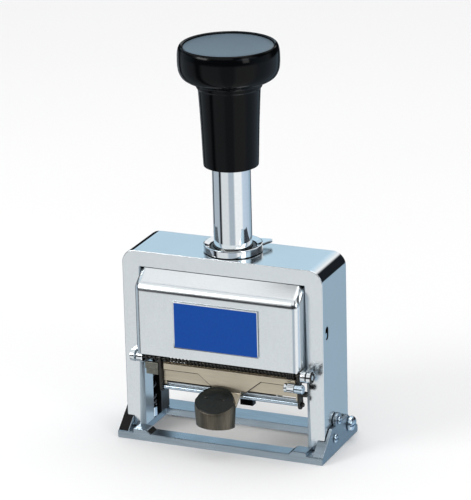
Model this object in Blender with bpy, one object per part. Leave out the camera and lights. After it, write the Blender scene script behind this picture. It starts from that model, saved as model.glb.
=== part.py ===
# Automatic numbering machine: a sprung plunger in a chromed arch prints with six number wheels,
# and an ink pad on a swinging holder inks them at rest. Metres, +Z up, front towards -Y.
# The origin is on the floor, under the middle of the whole part's box.

import math

import bmesh
import bpy
from mathutils import Matrix, Vector

# Clearances and mesh fineness
SEAT_GAP = 0.0003
HOLE_GAP = 0.0003
OVERRUN = 0.001
ROUND_STEPS = 32
SMALL_STEPS = 12
SMOOTH_ANGLE = math.radians(35)

# Arch casing
CASING_WIDTH = 0.084
CASING_DEPTH = 0.0252
CASING_TOP = 0.077
CASING_CORNER = 0.0055
CASING_CORNER_STEPS = 6
CASING_EDGE = 0.0005
TOP_WALL = 0.0065
LEG_WALL = 0.0074
GROOVE_WIDTH = 0.0072
GROOVE_DEPTH = 0.0058
EYE_LUG_RADIUS = 0.0024
EYE_LUG_WALL = 0.002

# Front and rear covers
COVER_WALL = 0.001
COVER_BOTTOM = 0.037
COVER_PROUD = 0.007
COVER_ROOF_DROP = 0.0052
COVER_BACK = 0.0062
COVER_EDGE = 0.0012
REAR_BOTTOM = 0.031
REAR_PROUD = 0.004
REAR_ROOF_DROP = 0.003
ROOF_NOTCH_GAP = 0.001
COVER_PIN_RADIUS = 0.0008
COVER_PIN_HEAD = 0.0012
COVER_PIN_INSET = 0.0041
COVER_PIN_Z = 0.0496
COVER_PIN_REACH = 0.0012
REAR_PIN_BITE = 0.003
KEYHOLE_DEPTH = 0.0015
KEYHOLE_ROUND = 0.0015
KEYHOLE_RISE = 0.0024

# Label plate
LABEL_WIDTH = 0.0356
LABEL_HEIGHT = 0.0191
LABEL_THICK = 0.0005
LABEL_OFFSET = 0.0004
LABEL_BOTTOM = 0.0415

# Base frame
CHEEK_WALL = 0.0012
BASE_REACH = 0.0064
BASE_THICK = 0.003
WINDOW_FRONT_INSET = 0.0002
WINDOW_REAR_INSET = 0.0033
WINDOW_SIDE_REACH = 0.0007
CHEEK_TOP = 0.0112
CHEEK_TOP_INSET = 0.0041
CHEEK_NOSE = 0.0024
WEDGE_WIDTH = 0.0045
CORNER_WIDTH = 0.0113
CORNER_OUTER_INSET = 0.0052
CORNER_TOP = 0.0045
CORNER_SLOPE = 0.0055
LUG_Y = -0.0015
LUG_Z = 0.0124
LUG_RADIUS = 0.0031

FRONT_SCREW_INSET = 0.007
REAR_SCREW_INSET = 0.0028
FRONT_SCREW_Y = FRONT_SCREW_INSET - CASING_DEPTH / 2
REAR_SCREW_Y = CASING_DEPTH / 2 - REAR_SCREW_INSET

# Screws through the base's cheeks: place across the side, height, shank, head radius, head thickness
SIDE_SCREWS = {
    "front": {"y": FRONT_SCREW_Y, "z": 0.0064, "shank": 0.0011, "head": 0.0018, "thick": 0.0009},
    "rear": {"y": REAR_SCREW_Y, "z": 0.0068, "shank": 0.0014, "head": 0.0031, "thick": 0.0022},
    "upper": {"y": LUG_Y, "z": LUG_Z, "shank": 0.001, "head": 0.0016, "thick": 0.0008},
}
SIDE_SCREW_BITE = 0.001
SCREW_SLOT = 0.0006
SCREW_SLOT_DEPTH_SHARE = 0.5

# Stem, knob and bush
STEM_RADIUS = 0.0075
STEM_SPIGOT = 0.0045
SPIGOT_SHOULDER = 0.12
SPIGOT_TOP = 0.129
KNOB_RADIUS = 0.0197
KNOB_TOP = 0.16
GRIP_BOTTOM = 0.1118
KNOB_RIM_WALL = 0.0007
CAP_THICK = 0.001
CAP_DOME = 0.0005
BUSH_NECK_WALL = 0.0012
BUSH_FLANGE_WALL = 0.0024
BUSH_NECK_RISE = 0.002

# Lock ring on the casing's top
RING_RADIUS = 0.0116
RING_HEIGHT = 0.0029
RING_DISH = 0.0008
RING_RIM = 0.0003
TAB_REACH = 0.0159
TAB_ANGLE = math.radians(40)
TAB_ROOT_SPREAD = math.radians(26)
TAB_TIP_WIDTH = 0.0012
TAB_THICK = 0.0012
TAB_RISE = 0.0012

# Plunger frame inside the arch
YOKE_DEPTH = 0.01
YOKE_THICK = 0.0045
EAR_HEIGHT = 0.0202
SPIGOT_RADIUS = 0.001
SPIGOT_LENGTH = 0.005
PLATE_THICK = 0.0014
PLATE_SIDE_ROOM = 0.0022
PLATE_HALF = 0.0065
PLATE_FOOT_HALF = 0.005
PLATE_BELOW_SHAFT = 0.007
PLATE_LOBE = 0.0026

# Number wheels and their shaft
WHEEL_COUNT = 6
DIGIT_COUNT = 10
WHEEL_Z = 0.0345
TYPE_RADIUS = 0.0085
TYPE_BODY_RADIUS = 0.0077
TYPE_WIDTH = 0.0038
RATCHET_WIDTH = 0.0016
RATCHET_TIP = 0.0066
RATCHET_ROOT = 0.0056
WHEEL_GAP = 0.0003
TYPE_LAND_SHARES = (0.16, 0.24, 0.76, 0.84)
RATCHET_RISE_SHARES = (0.0, 0.15, 0.85, 1.0)
SHAFT_RADIUS = 0.002
SHAFT_NUT_RADIUS = 0.0032
SHAFT_NUT_THICK = 0.0015
SHAFT_NUT_SIDES = 6
SLEEVE_WALL = 0.0012

# Pawl frame and detent comb, placed by radius and angle round the wheel shaft
PAWL_RADIUS = 0.011
PAWL_ANGLE = math.radians(50)
DETENT_RADIUS = 0.0115
DETENT_ANGLE = math.radians(140)
COMB_ROD = 0.0009
COMB_TUBE_WALL = 0.0008
FINGER_WIDTH = 0.0008
FINGER_TIP_WIDTH = 0.0009
FINGER_ROOT_WIDTH = 0.0026
PAWL_ARM_THICK = 0.0012
PAWL_EYE = 0.0038
PAWL_BAR_EYE = 0.002

# Return springs in the legs' grooves
SPRING_WIRE = 0.00045
SPRING_MEAN = 0.00195
SPRING_CURLS = 11
CURL_POINTS = 8
END_CURLS_SHARE = 0.16
END_RISE_SHARE = 0.06
POST_RADIUS = 0.001
POST_FOOT = 0.0026
POST_FOOT_HEIGHT = 0.0037
POST_HEIGHT = 0.011
LEAST_SELF_GAP = 0.0004

# Inker: rod, arms, tray and pad holder
INKER_Y = -0.0174
INKER_Z = 0.0353
ROD_RADIUS = 0.0006
ROD_HEAD = 0.0024
ROD_HEAD_THICK = 0.0022
ROD_COLLAR = 0.0019
ROD_COLLAR_INSET = 0.0016
ROD_COLLAR_THICK = 0.0013
ARM_THICK = 0.001
LEFT_ARM_INSET = 0.0096
RIGHT_ARM_INSET = 0.0004
ARM_EYE = 0.0014
ARM_FOOT_EYE = 0.0019
HOOK_PIN_RADIUS = 0.0011
HOOK_PIN_REACH = 0.0028
HOOK_PIN_DROP = 0.0074
TRAY_ROD_Y = -0.0162
TRAY_ROD_Z = 0.0232
TRAY_ROD = 0.0009
TRAY_INSET = 0.0109
TRAY_STRIP_DEPTH = 0.0024
TRAY_FLOOR = 0.0008
TRAY_BACK = 0.0086
TRAY_RIM = 0.0012
TRAY_RIM_WALL = 0.0008
PAD_SIDE_GAP = 0.0004
PAD_TO_WHEEL = 0.0003
PAD_THICK = 0.0014
PANEL_THICK = 0.0008
PANEL_BOTTOM = 0.0261
PANEL_TOP = 0.033
PANEL_BRIDGE = 0.001
HOLDER_LEFT_INSET = 0.0113
HOLDER_RIGHT_INSET = 0.0023
HOLDER_TOP = 0.0335
HOLDER_BAND_BOTTOM = 0.0306
HOLDER_MIDDLE = 0.0046
HOLDER_KNEE = 0.0133
HOLDER_APEX = 0.0072
HOLDER_BOTTOM = 0.0256
HOLDER_THICK = 0.0008
TONGUE_LEFT = -0.0018
TONGUE_RIGHT = 0.0094
TONGUE_REACH = 0.0052
TONGUE_ROOT_RISE = 0.001
BLOCK_INSET = 0.0036
BLOCK_BOTTOM = 0.0306
BLOCK_THICK = 0.0014
KNOB_NUT_LENGTH = 0.0043
KNOB_NUT_RADIUS = 0.0018
KNOB_NUT_Z = 0.031
HUB_REACH = 0.0024
CATCH_LEFT = 0.0078
CATCH_WIDTH = 0.0054
CATCH_DEPTH = 0.003
CATCH_HEIGHT = 0.0036
COIL_WIRE = 0.0002
COIL_MEAN = 0.0011
COIL_END_MEAN = 0.0013
COIL_END_SHARE = 0.08
COIL_CURLS = 26
COIL_STUB_CURLS = 3
COIL_ARM_GAP = 0.0006

# Thumb tab on the pad holder
THUMB_OFFSET = 0.001
THUMB_HALF_WIDTH = 0.0074
THUMB_LENGTH = 0.0126
THUMB_TILT = math.radians(33)
THUMB_THICK = 0.001
THUMB_STEPS = 24
APRON_HEIGHT = 0.0062
APRON_WALL = 0.001
THUMB_ROOT_Z = 0.0262

# Repeat selector on the rear cover
DIAL_X = -0.017
DIAL_Z = 0.0525
DIAL_RADIUS = 0.0085
DIAL_THICK = 0.0019
DIAL_FLUTES = 24
DIAL_FLUTE_SHARE = 0.95
DIAL_PIVOT = 0.0013
DIAL_SCREW_HEAD = 0.0026
DIAL_SCREW_THICK = 0.0007

# The knob's outline from rim to grip: radius as a share of the knob's, height as a share of its length
KNOB_OUTLINE_SHARES = (
    (0.935, 1.0),
    (0.97, 0.984),
    (0.994, 0.955),
    (1.0, 0.907),
    (1.0, 0.845),
    (0.98, 0.793),
    (0.924, 0.747),
    (0.822, 0.718),
    (0.71, 0.701),
    (0.66, 0.685),
    (0.66, 0.66),
    (0.625, 0.65),
    (0.609, 0.622),
    (0.574, 0.336),
    (0.548, 0.037),
    (0.513, 0.0),
)

# Places worked out from the sizes above
CASING_FRONT = CASING_DEPTH / 2
LEG_BOTTOM = BASE_THICK + SEAT_GAP
LEG_INNER = CASING_WIDTH / 2 - LEG_WALL
ARCH_UNDERSIDE = CASING_TOP - TOP_WALL
GROOVE_OUTER = LEG_INNER + GROOVE_DEPTH
GROOVE_CENTRE = LEG_INNER + GROOVE_DEPTH / 2
COVER_PIN_Y = CASING_FRONT - COVER_PIN_INSET
REAR_PIN_END = LEG_INNER + REAR_PIN_BITE
COVER_HALF = LEG_INNER - SEAT_GAP
COVER_TOP = ARCH_UNDERSIDE - SEAT_GAP
COVER_FRONT = CASING_FRONT + COVER_PROUD
REAR_FACE = CASING_FRONT + REAR_PROUD
CHEEK_INNER = CASING_WIDTH / 2 + SEAT_GAP
BASE_HALF = CHEEK_INNER + CHEEK_WALL
BASE_FRONT = CASING_FRONT + BASE_REACH
WINDOW_FRONT = CASING_FRONT - WINDOW_FRONT_INSET
WINDOW_REAR = CASING_FRONT - WINDOW_REAR_INSET
WINDOW_HALF = LEG_INNER + WINDOW_SIDE_REACH
CHEEK_TOP_HALF = CASING_FRONT - CHEEK_TOP_INSET
WEDGE_INNER = BASE_HALF - WEDGE_WIDTH
CORNER_OUTER = CASING_WIDTH / 2 - CORNER_OUTER_INSET
CORNER_INNER = CORNER_OUTER - CORNER_WIDTH
PLATE_OUTER = LEG_INNER - PLATE_SIDE_ROOM
ROD_COLLAR_OUTER = LEG_INNER - ROD_COLLAR_INSET
LEFT_ARM_OUTER = LEG_INNER - LEFT_ARM_INSET
RIGHT_ARM_OUTER = LEG_INNER - RIGHT_ARM_INSET
TRAY_HALF = LEG_INNER - TRAY_INSET
HOLDER_LEFT = HOLDER_LEFT_INSET - LEG_INNER
HOLDER_RIGHT = LEG_INNER - HOLDER_RIGHT_INSET
BLOCK_LEFT = BLOCK_INSET - LEG_INNER
YOKE_TOP = ARCH_UNDERSIDE - SEAT_GAP
YOKE_BOTTOM = YOKE_TOP - YOKE_THICK
EAR_BOTTOM = YOKE_TOP - EAR_HEIGHT
STEM_BOTTOM = YOKE_TOP + SEAT_GAP
CAP_RADIUS = KNOB_RADIUS * KNOB_OUTLINE_SHARES[0][0] - KNOB_RIM_WALL - HOLE_GAP
BUSH_BORE = STEM_RADIUS + HOLE_GAP
BUSH_NECK = BUSH_BORE + BUSH_NECK_WALL
BUSH_FLANGE = BUSH_BORE + BUSH_FLANGE_WALL
RING_BORE = BUSH_NECK + HOLE_GAP
RING_BOTTOM = CASING_TOP + SEAT_GAP
WHEEL_PITCH = TYPE_WIDTH + RATCHET_WIDTH + WHEEL_GAP
WHEELS_HALF = (WHEEL_COUNT * WHEEL_PITCH - WHEEL_GAP) / 2
PLATE_INNER = PLATE_OUTER - PLATE_THICK
PAD_TOP = WHEEL_Z - TYPE_RADIUS - PAD_TO_WHEEL
PAD_BOTTOM = PAD_TOP - PAD_THICK
TRAY_TOP = PAD_BOTTOM - SEAT_GAP
TRAY_BOTTOM = TRAY_TOP - TRAY_FLOOR
TRAY_FRONT = TRAY_ROD_Y + TRAY_ROD + SEAT_GAP
HOLDER_FRONT = INKER_Y - HOLDER_THICK / 2
TRAY_LEFT = -(LEFT_ARM_OUTER - ARM_THICK - SEAT_GAP)
TRAY_RIGHT = RIGHT_ARM_OUTER - ARM_THICK - SEAT_GAP
HUB_Y = HOLDER_FRONT - SEAT_GAP - KNOB_NUT_RADIUS
THUMB_ROOT_Y = HOLDER_FRONT - SEAT_GAP
THUMB_DROP = math.tan(THUMB_TILT)
THUMB_TIP_Y = THUMB_ROOT_Y - THUMB_LENGTH * math.cos(THUMB_TILT)
REAR_REACH = REAR_FACE + SEAT_GAP + DIAL_THICK + SEAT_GAP + DIAL_SCREW_THICK
FRAME_SHIFT = -(THUMB_TIP_Y + REAR_REACH) / 2
PANEL_BACK = INKER_Y + HOLDER_THICK / 2 + SEAT_GAP + PANEL_THICK
SPRING_BOTTOM = LEG_BOTTOM + POST_FOOT_HEIGHT + SEAT_GAP + SPRING_WIRE
SPRING_TOP = EAR_BOTTOM - SEAT_GAP - SPRING_WIRE

for old in list(bpy.data.objects):
    bpy.data.objects.remove(old, do_unlink=True)


def finish(name, colour, roughness, metallic):
    """A Principled material with one plain colour."""
    made = bpy.data.materials.new(name)
    made.use_nodes = True
    shader = made.node_tree.nodes["Principled BSDF"]
    shader.inputs["Base Color"].default_value = (*colour, 1.0)
    shader.inputs["Roughness"].default_value = roughness
    shader.inputs["Metallic"].default_value = metallic
    made.diffuse_color = (*colour, 1.0)
    return made


CHROME = finish("chrome", (0.75, 0.8, 0.83), 0.08, 1.0)
STEEL = finish("steel", (0.5, 0.55, 0.58), 0.3, 1.0)
DARK_STEEL = finish("dark_steel", (0.08, 0.08, 0.09), 0.35, 0.8)
NICKEL = finish("nickel", (0.55, 0.5, 0.42), 0.35, 0.9)
BLACK_PLASTIC = finish("black_plastic", (0.012, 0.012, 0.014), 0.18, 0.0)
CAP_GREY = finish("cap_grey", (0.16, 0.2, 0.23), 0.3, 0.0)
LABEL_BLUE = finish("label_blue", (0.01, 0.07, 0.32), 0.4, 0.0)
FELT = finish("felt", (0.01, 0.01, 0.012), 0.95, 0.0)
BRASS = finish("brass", (0.62, 0.45, 0.2), 0.3, 1.0)
SPRING_STEEL = finish("spring_steel", (0.3, 0.32, 0.34), 0.3, 1.0)


def guide(name, place):
    """An empty on a joint's axis, which its moving pieces hang from."""
    empty = bpy.data.objects.new(name, None)
    empty.location = place
    bpy.context.collection.objects.link(empty)
    return empty


PLUNGER = guide("plunger_axis", (0, 0, CASING_TOP))
WHEELS = guide("wheel_axis", (0, 0, WHEEL_Z))
INKER = guide("inker_axis", (0, INKER_Y, INKER_Z))
LOCK = guide("lock_axis", (0, 0, CASING_TOP))
DIAL = guide("dial_axis", (DIAL_X, REAR_FACE, DIAL_Z))


def show(name, mesh, material, carrier=None):
    """Link a mesh drawn in world places, and hang it from its carrier without moving it."""
    mesh.materials.clear()
    mesh.materials.append(material)
    made = bpy.data.objects.new(name, mesh)
    bpy.context.collection.objects.link(made)
    if carrier is not None:
        mesh.transform(Matrix.Translation(-carrier.location))
        made.parent = carrier
    return made


def tool(made, target, operation):
    """Use a made object as a hidden Boolean tool on another."""
    made.hide_render = True
    made.hide_viewport = False
    made.display_type = "WIRE"
    step = target.modifiers.new(made.name, "BOOLEAN")
    step.operation = operation
    step.solver = "EXACT"
    step.object = made
    return made


def cut(target, mesh):
    cutter = show(f"{target.name}_cut_{len(target.modifiers)}", mesh, STEEL)
    return tool(cutter, target, "DIFFERENCE")


def join(target, mesh):
    added = show(f"{target.name}_add_{len(target.modifiers)}", mesh, STEEL)
    return tool(added, target, "UNION")


def soften(target, width, segments=1):
    bevel = target.modifiers.new("edge", "BEVEL")
    bevel.width = width
    bevel.segments = segments
    bevel.limit_method = "ANGLE"
    bevel.angle_limit = SMOOTH_ANGLE
    bevel.use_clamp_overlap = True


def mesh_from(form):
    """Close a bmesh into a mesh whose faces point out, smooth but for its sharp edges."""
    bmesh.ops.recalc_face_normals(form, faces=form.faces)
    mesh = bpy.data.meshes.new("form")
    form.to_mesh(mesh)
    form.free()
    mesh.shade_smooth()
    mesh.set_sharp_from_angle(angle=SMOOTH_ANGLE)
    return mesh


def box(low, high):
    """A box between two corners."""
    form = bmesh.new()
    bmesh.ops.create_cube(form, size=1)
    middle = [(a + b) / 2 for a, b in zip(low, high)]
    size = [b - a for a, b in zip(low, high)]
    form.transform(Matrix.Translation(middle) @ Matrix.Diagonal((*size, 1)))
    return mesh_from(form)


def prism(outline, axis, start, end):
    """A flat outline drawn out along X, Y or Z; its two numbers are the other two axes in order."""
    form = bmesh.new()
    corners = []
    for a, b in outline:
        place = {"X": (start, a, b), "Y": (a, start, b), "Z": (a, b, start)}[axis]
        corners.append(form.verts.new(place))
    face = form.faces.new(corners)
    drawn = bmesh.ops.extrude_face_region(form, geom=[face])
    shift = {"X": (end - start, 0, 0), "Y": (0, end - start, 0), "Z": (0, 0, end - start)}[axis]
    moved = [v for v in drawn["geom"] if isinstance(v, bmesh.types.BMVert)]
    bmesh.ops.translate(form, verts=moved, vec=shift)
    return mesh_from(form)


AXIS_TURN = {
    "Z": Matrix.Identity(4),
    "X": Matrix.Rotation(math.radians(90), 4, "Y"),
    "Y": Matrix.Rotation(math.radians(-90), 4, "X"),
}


def turned(profile, axis, centre, steps=ROUND_STEPS, bored=False):
    """Turn a profile of (radius, distance along the axis); a bored one closes on itself."""
    form = bmesh.new()
    rings = []
    for radius, along in profile:
        if radius == 0:
            rings.append([form.verts.new((0, 0, along))])
            continue
        ring = []
        for k in range(steps):
            turn = math.tau * k / steps
            ring.append(form.verts.new((radius * math.cos(turn), radius * math.sin(turn), along)))
        rings.append(ring)
    if bored:
        rings.append(rings[0])
    for one, two in zip(rings, rings[1:]):
        for k in range(steps):
            after = (k + 1) % steps
            corners = [one[k % len(one)], one[after % len(one)], two[after % len(two)], two[k % len(two)]]
            distinct = []
            for corner in corners:
                if corner not in distinct:
                    distinct.append(corner)
            form.faces.new(distinct)
    for ring in (rings[0], rings[-1]):
        if not bored and len(ring) > 1:
            form.faces.new(ring)
    form.transform(Matrix.Translation(centre) @ AXIS_TURN[axis])
    return mesh_from(form)


def rod(radius, axis, centre, start, end, steps=SMALL_STEPS):
    return turned([(radius, start), (radius, end)], axis, centre, steps)


def tube(outer, inner, axis, centre, start, end, steps=ROUND_STEPS):
    outline = [(outer, start), (outer, end), (inner, end), (inner, start)]
    return turned(outline, axis, centre, steps, bored=True)


def arc(centre, radius, first, last, steps):
    """Points on an arc from one angle to another, ends included."""
    points = []
    for k in range(steps + 1):
        turn = first + (last - first) * k / steps
        points.append((centre[0] + radius * math.cos(turn), centre[1] + radius * math.sin(turn)))
    return points


def link_outline(one, one_radius, two, two_radius, steps):
    """The outline of a link plate: two round ends joined by straight flanks."""
    ahead = math.atan2(two[1] - one[1], two[0] - one[0])
    quarter = math.pi / 2
    near = arc(one, one_radius, ahead + quarter, ahead + 3 * quarter, steps)
    far = arc(two, two_radius, ahead - quarter, ahead + quarter, steps)
    return near + far


def wire(name, points, radius, material, carrier=None):
    """One unbroken round wire through the points, with its ends closed."""
    curve = bpy.data.curves.new(name, "CURVE")
    curve.dimensions = "3D"
    curve.bevel_depth = radius
    curve.bevel_resolution = 1
    curve.use_fill_caps = True
    line = curve.splines.new("POLY")
    line.points.add(len(points) - 1)
    for point, place in zip(line.points, points):
        point.co = (*place, 1)
    curve.materials.append(material)
    made = bpy.data.objects.new(name, curve)
    bpy.context.collection.objects.link(made)
    if carrier is not None:
        curve.transform(Matrix.Translation(-carrier.location))
        made.parent = carrier
    return made


def least_self_gap(points, radius, skip):
    """The least free distance between windings of a wire, measured on its points."""
    least = None
    for i, here in enumerate(points):
        for there in points[i + skip:]:
            gap = (Vector(here) - Vector(there)).length - 2 * radius
            least = gap if least is None else min(least, gap)
    return least


def make_casing():
    half = CASING_WIDTH / 2
    corner = (half - CASING_CORNER, CASING_TOP - CASING_CORNER)
    right = arc(corner, CASING_CORNER, 0, math.pi / 2, CASING_CORNER_STEPS)
    left = [(-x, z) for x, z in reversed(right)]
    outline = [(half, LEG_BOTTOM), *right, *left, (-half, LEG_BOTTOM)]
    outline += [(-LEG_INNER, LEG_BOTTOM), (-LEG_INNER, ARCH_UNDERSIDE)]
    outline += [(LEG_INNER, ARCH_UNDERSIDE), (LEG_INNER, LEG_BOTTOM)]
    casing = show("casing", prism(outline, "Y", -CASING_FRONT, CASING_FRONT), CHROME)
    soften(casing, CASING_EDGE)
    for side in (-1, 1):
        ends = sorted((side * (LEG_INNER - OVERRUN), side * GROOVE_OUTER))
        low = (ends[0], -GROOVE_WIDTH / 2, LEG_BOTTOM - OVERRUN)
        high = (ends[1], GROOVE_WIDTH / 2, ARCH_UNDERSIDE)
        cut(casing, box(low, high))
    stem_hole = BUSH_FLANGE + HOLE_GAP
    cut(casing, rod(stem_hole, "Z", (0, 0, 0), ARCH_UNDERSIDE - OVERRUN, CASING_TOP + OVERRUN, ROUND_STEPS))
    for side in (-1, 1):
        inner = LEG_INNER + SEAT_GAP
        ends = sorted((side * inner, side * (inner + EYE_LUG_WALL)))
        lug = [(-CASING_FRONT + OVERRUN, INKER_Z + EYE_LUG_RADIUS)]
        lug += arc((INKER_Y, INKER_Z), EYE_LUG_RADIUS, math.pi / 2, math.pi * 3 / 2, SMALL_STEPS // 2)
        lug += [(-CASING_FRONT + OVERRUN, INKER_Z - EYE_LUG_RADIUS)]
        join(casing, prism(lug, "X", *ends))
    rod_hole = ROD_RADIUS + HOLE_GAP
    cut(casing, rod(rod_hole, "X", (0, INKER_Y, INKER_Z), -CASING_WIDTH / 2, CASING_WIDTH / 2))
    middle = (-COVER_PIN_Y, COVER_PIN_Z)
    top = (-COVER_PIN_Y, COVER_PIN_Z + KEYHOLE_RISE)
    keyhole = link_outline(middle, KEYHOLE_ROUND, top, KEYHOLE_ROUND, SMALL_STEPS // 2)
    hole = COVER_PIN_RADIUS + HOLE_GAP
    for side in (-1, 1):
        ends = sorted((side * (LEG_INNER - OVERRUN), side * (CASING_WIDTH / 2 + OVERRUN)))
        cut(casing, rod(hole, "X", (0, *middle), *ends))
        ends = sorted((side * (CASING_WIDTH / 2 - KEYHOLE_DEPTH), side * (CASING_WIDTH / 2 + OVERRUN)))
        cut(casing, prism(keyhole, "X", *ends))
        ends = sorted((side * (LEG_INNER - OVERRUN), side * (REAR_PIN_END + HOLE_GAP)))
        cut(casing, rod(hole, "X", (0, COVER_PIN_Y, COVER_PIN_Z), *ends))
    for screw in SIDE_SCREWS.values():
        for side in (-1, 1):
            ends = sorted((side * (GROOVE_OUTER - OVERRUN / 2), side * (CASING_WIDTH / 2 + OVERRUN)))
            cut(casing, rod(screw["shank"] + HOLE_GAP, "X", (0, screw["y"], screw["z"]), *ends))


def cover_shell(name, front, face, roof_drop, bottom):
    """A cover folded round the mechanism, open at its back and bottom."""
    roof_edge = front * CASING_FRONT
    outline = [
        (front * COVER_BACK, bottom),
        (front * face, bottom),
        (front * face, COVER_TOP - roof_drop),
        (roof_edge, COVER_TOP),
        (front * COVER_BACK, COVER_TOP),
    ]
    shell = show(name, prism(outline, "X", -COVER_HALF, COVER_HALF), CHROME)
    soften(shell, COVER_EDGE, 2)
    hollow = [
        (front * (COVER_BACK - OVERRUN), bottom - OVERRUN),
        (front * (face - COVER_WALL), bottom - OVERRUN),
        (front * (face - COVER_WALL), COVER_TOP - roof_drop - COVER_WALL),
        (roof_edge, COVER_TOP - COVER_WALL),
        (front * (COVER_BACK - OVERRUN), COVER_TOP - COVER_WALL),
    ]
    cut(shell, prism(hollow, "X", -COVER_HALF + COVER_WALL, COVER_HALF - COVER_WALL))
    notch = STEM_RADIUS + ROOF_NOTCH_GAP
    cut(shell, rod(notch, "Z", (0, 0, 0), COVER_TOP - TOP_WALL, COVER_TOP + OVERRUN, ROUND_STEPS))
    hole = COVER_PIN_RADIUS + HOLE_GAP
    place = (0, front * COVER_PIN_Y, COVER_PIN_Z)
    cut(shell, rod(hole, "X", place, -COVER_HALF - OVERRUN, COVER_HALF + OVERRUN))
    return shell


def make_covers():
    cover_shell("front_cover", -1, COVER_FRONT, COVER_ROOF_DROP, COVER_BOTTOM)
    rear = cover_shell("rear_cover", 1, REAR_FACE, REAR_ROOF_DROP, REAR_BOTTOM)
    place = (DIAL_X, 0, DIAL_Z)
    cut(rear, rod(DIAL_PIVOT + HOLE_GAP, "Y", place, REAR_FACE - COVER_WALL - OVERRUN, REAR_FACE + OVERRUN))
    outer = CASING_WIDTH / 2 - SEAT_GAP
    seat = CASING_WIDTH / 2 - KEYHOLE_DEPTH + SEAT_GAP
    inner = COVER_HALF - COVER_WALL - COVER_PIN_REACH
    for label, side in (("left", -1), ("right", 1)):
        profile = [
            (COVER_PIN_HEAD, side * outer),
            (COVER_PIN_HEAD, side * seat),
            (COVER_PIN_RADIUS, side * seat),
            (COVER_PIN_RADIUS, side * inner),
        ]
        centre = (0, -COVER_PIN_Y, COVER_PIN_Z)
        show(f"front_cover_pin_{label}", turned(profile, "X", centre, SMALL_STEPS), STEEL)
        profile = [(COVER_PIN_RADIUS, side * REAR_PIN_END), (COVER_PIN_RADIUS, side * inner)]
        centre = (0, COVER_PIN_Y, COVER_PIN_Z)
        show(f"rear_cover_pin_{label}", turned(profile, "X", centre, SMALL_STEPS), STEEL)


def make_label():
    left = LABEL_OFFSET - LABEL_WIDTH / 2
    back = -COVER_FRONT - SEAT_GAP
    low = (left, back - LABEL_THICK, LABEL_BOTTOM)
    high = (left + LABEL_WIDTH, back, LABEL_BOTTOM + LABEL_HEIGHT)
    show("label_plate", box(low, high), LABEL_BLUE)


def make_base():
    half = BASE_HALF
    deep = BASE_FRONT
    base = show("base_frame", box((-half, -deep, 0), (half, deep, BASE_THICK)), STEEL)
    side = [
        (-deep, 0),
        (-deep, CHEEK_NOSE),
        (-CHEEK_TOP_HALF, CHEEK_TOP),
        (CHEEK_TOP_HALF, CHEEK_TOP),
        (deep, CHEEK_NOSE),
        (deep, 0),
    ]
    for sign in (-1, 1):
        join(base, prism(side, "X", *sorted((sign * WEDGE_INNER, sign * half))))
        lug = rod(LUG_RADIUS, "X", (0, LUG_Y, LUG_Z), *sorted((sign * CHEEK_INNER, sign * half)))
        join(base, lug)
        corner = [
            (sign * CORNER_INNER, 0),
            (sign * (CORNER_INNER + CORNER_SLOPE), CORNER_TOP),
            (sign * CORNER_OUTER, CORNER_TOP),
            (sign * CORNER_OUTER, 0),
        ]
        for front in (-1, 1):
            ends = sorted((front * deep, front * (CASING_FRONT + SEAT_GAP)))
            join(base, prism(corner, "Y", *ends))
    cut(base, box((-WINDOW_HALF, -WINDOW_FRONT, -OVERRUN), (WINDOW_HALF, WINDOW_REAR, CORNER_TOP + OVERRUN)))
    pocket = CASING_FRONT + SEAT_GAP
    for sign in (-1, 1):
        low_x, high_x = sorted((sign * (WEDGE_INNER - OVERRUN), sign * CHEEK_INNER))
        cut(base, box((low_x, -pocket, BASE_THICK), (high_x, pocket, LUG_Z + LUG_RADIUS + OVERRUN)))
        for screw in SIDE_SCREWS.values():
            ends = sorted((sign * (CHEEK_INNER - OVERRUN), sign * (half + OVERRUN)))
            cut(base, rod(screw["shank"] + HOLE_GAP, "X", (0, screw["y"], screw["z"]), *ends))
    outer = half + SEAT_GAP
    tip = GROOVE_OUTER + SIDE_SCREW_BITE / 2
    for place, screw in SIDE_SCREWS.items():
        for label, sign in (("left", -1), ("right", 1)):
            profile = [
                (screw["head"], sign * (outer + screw["thick"])),
                (screw["head"], sign * outer),
                (screw["shank"], sign * outer),
                (screw["shank"], sign * tip),
            ]
            centre = (0, screw["y"], screw["z"])
            made = show(f"base_screw_{place}_{label}", turned(profile, "X", centre, SMALL_STEPS), STEEL)
            sunk = outer + screw["thick"] * (1 - SCREW_SLOT_DEPTH_SHARE)
            low_x, high_x = sorted((sign * sunk, sign * (outer + screw["thick"] + OVERRUN)))
            low = (low_x, screw["y"] - screw["head"] - OVERRUN, screw["z"] - SCREW_SLOT / 2)
            high = (high_x, screw["y"] + screw["head"] + OVERRUN, screw["z"] + SCREW_SLOT / 2)
            cut(made, box(low, high))


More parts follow.
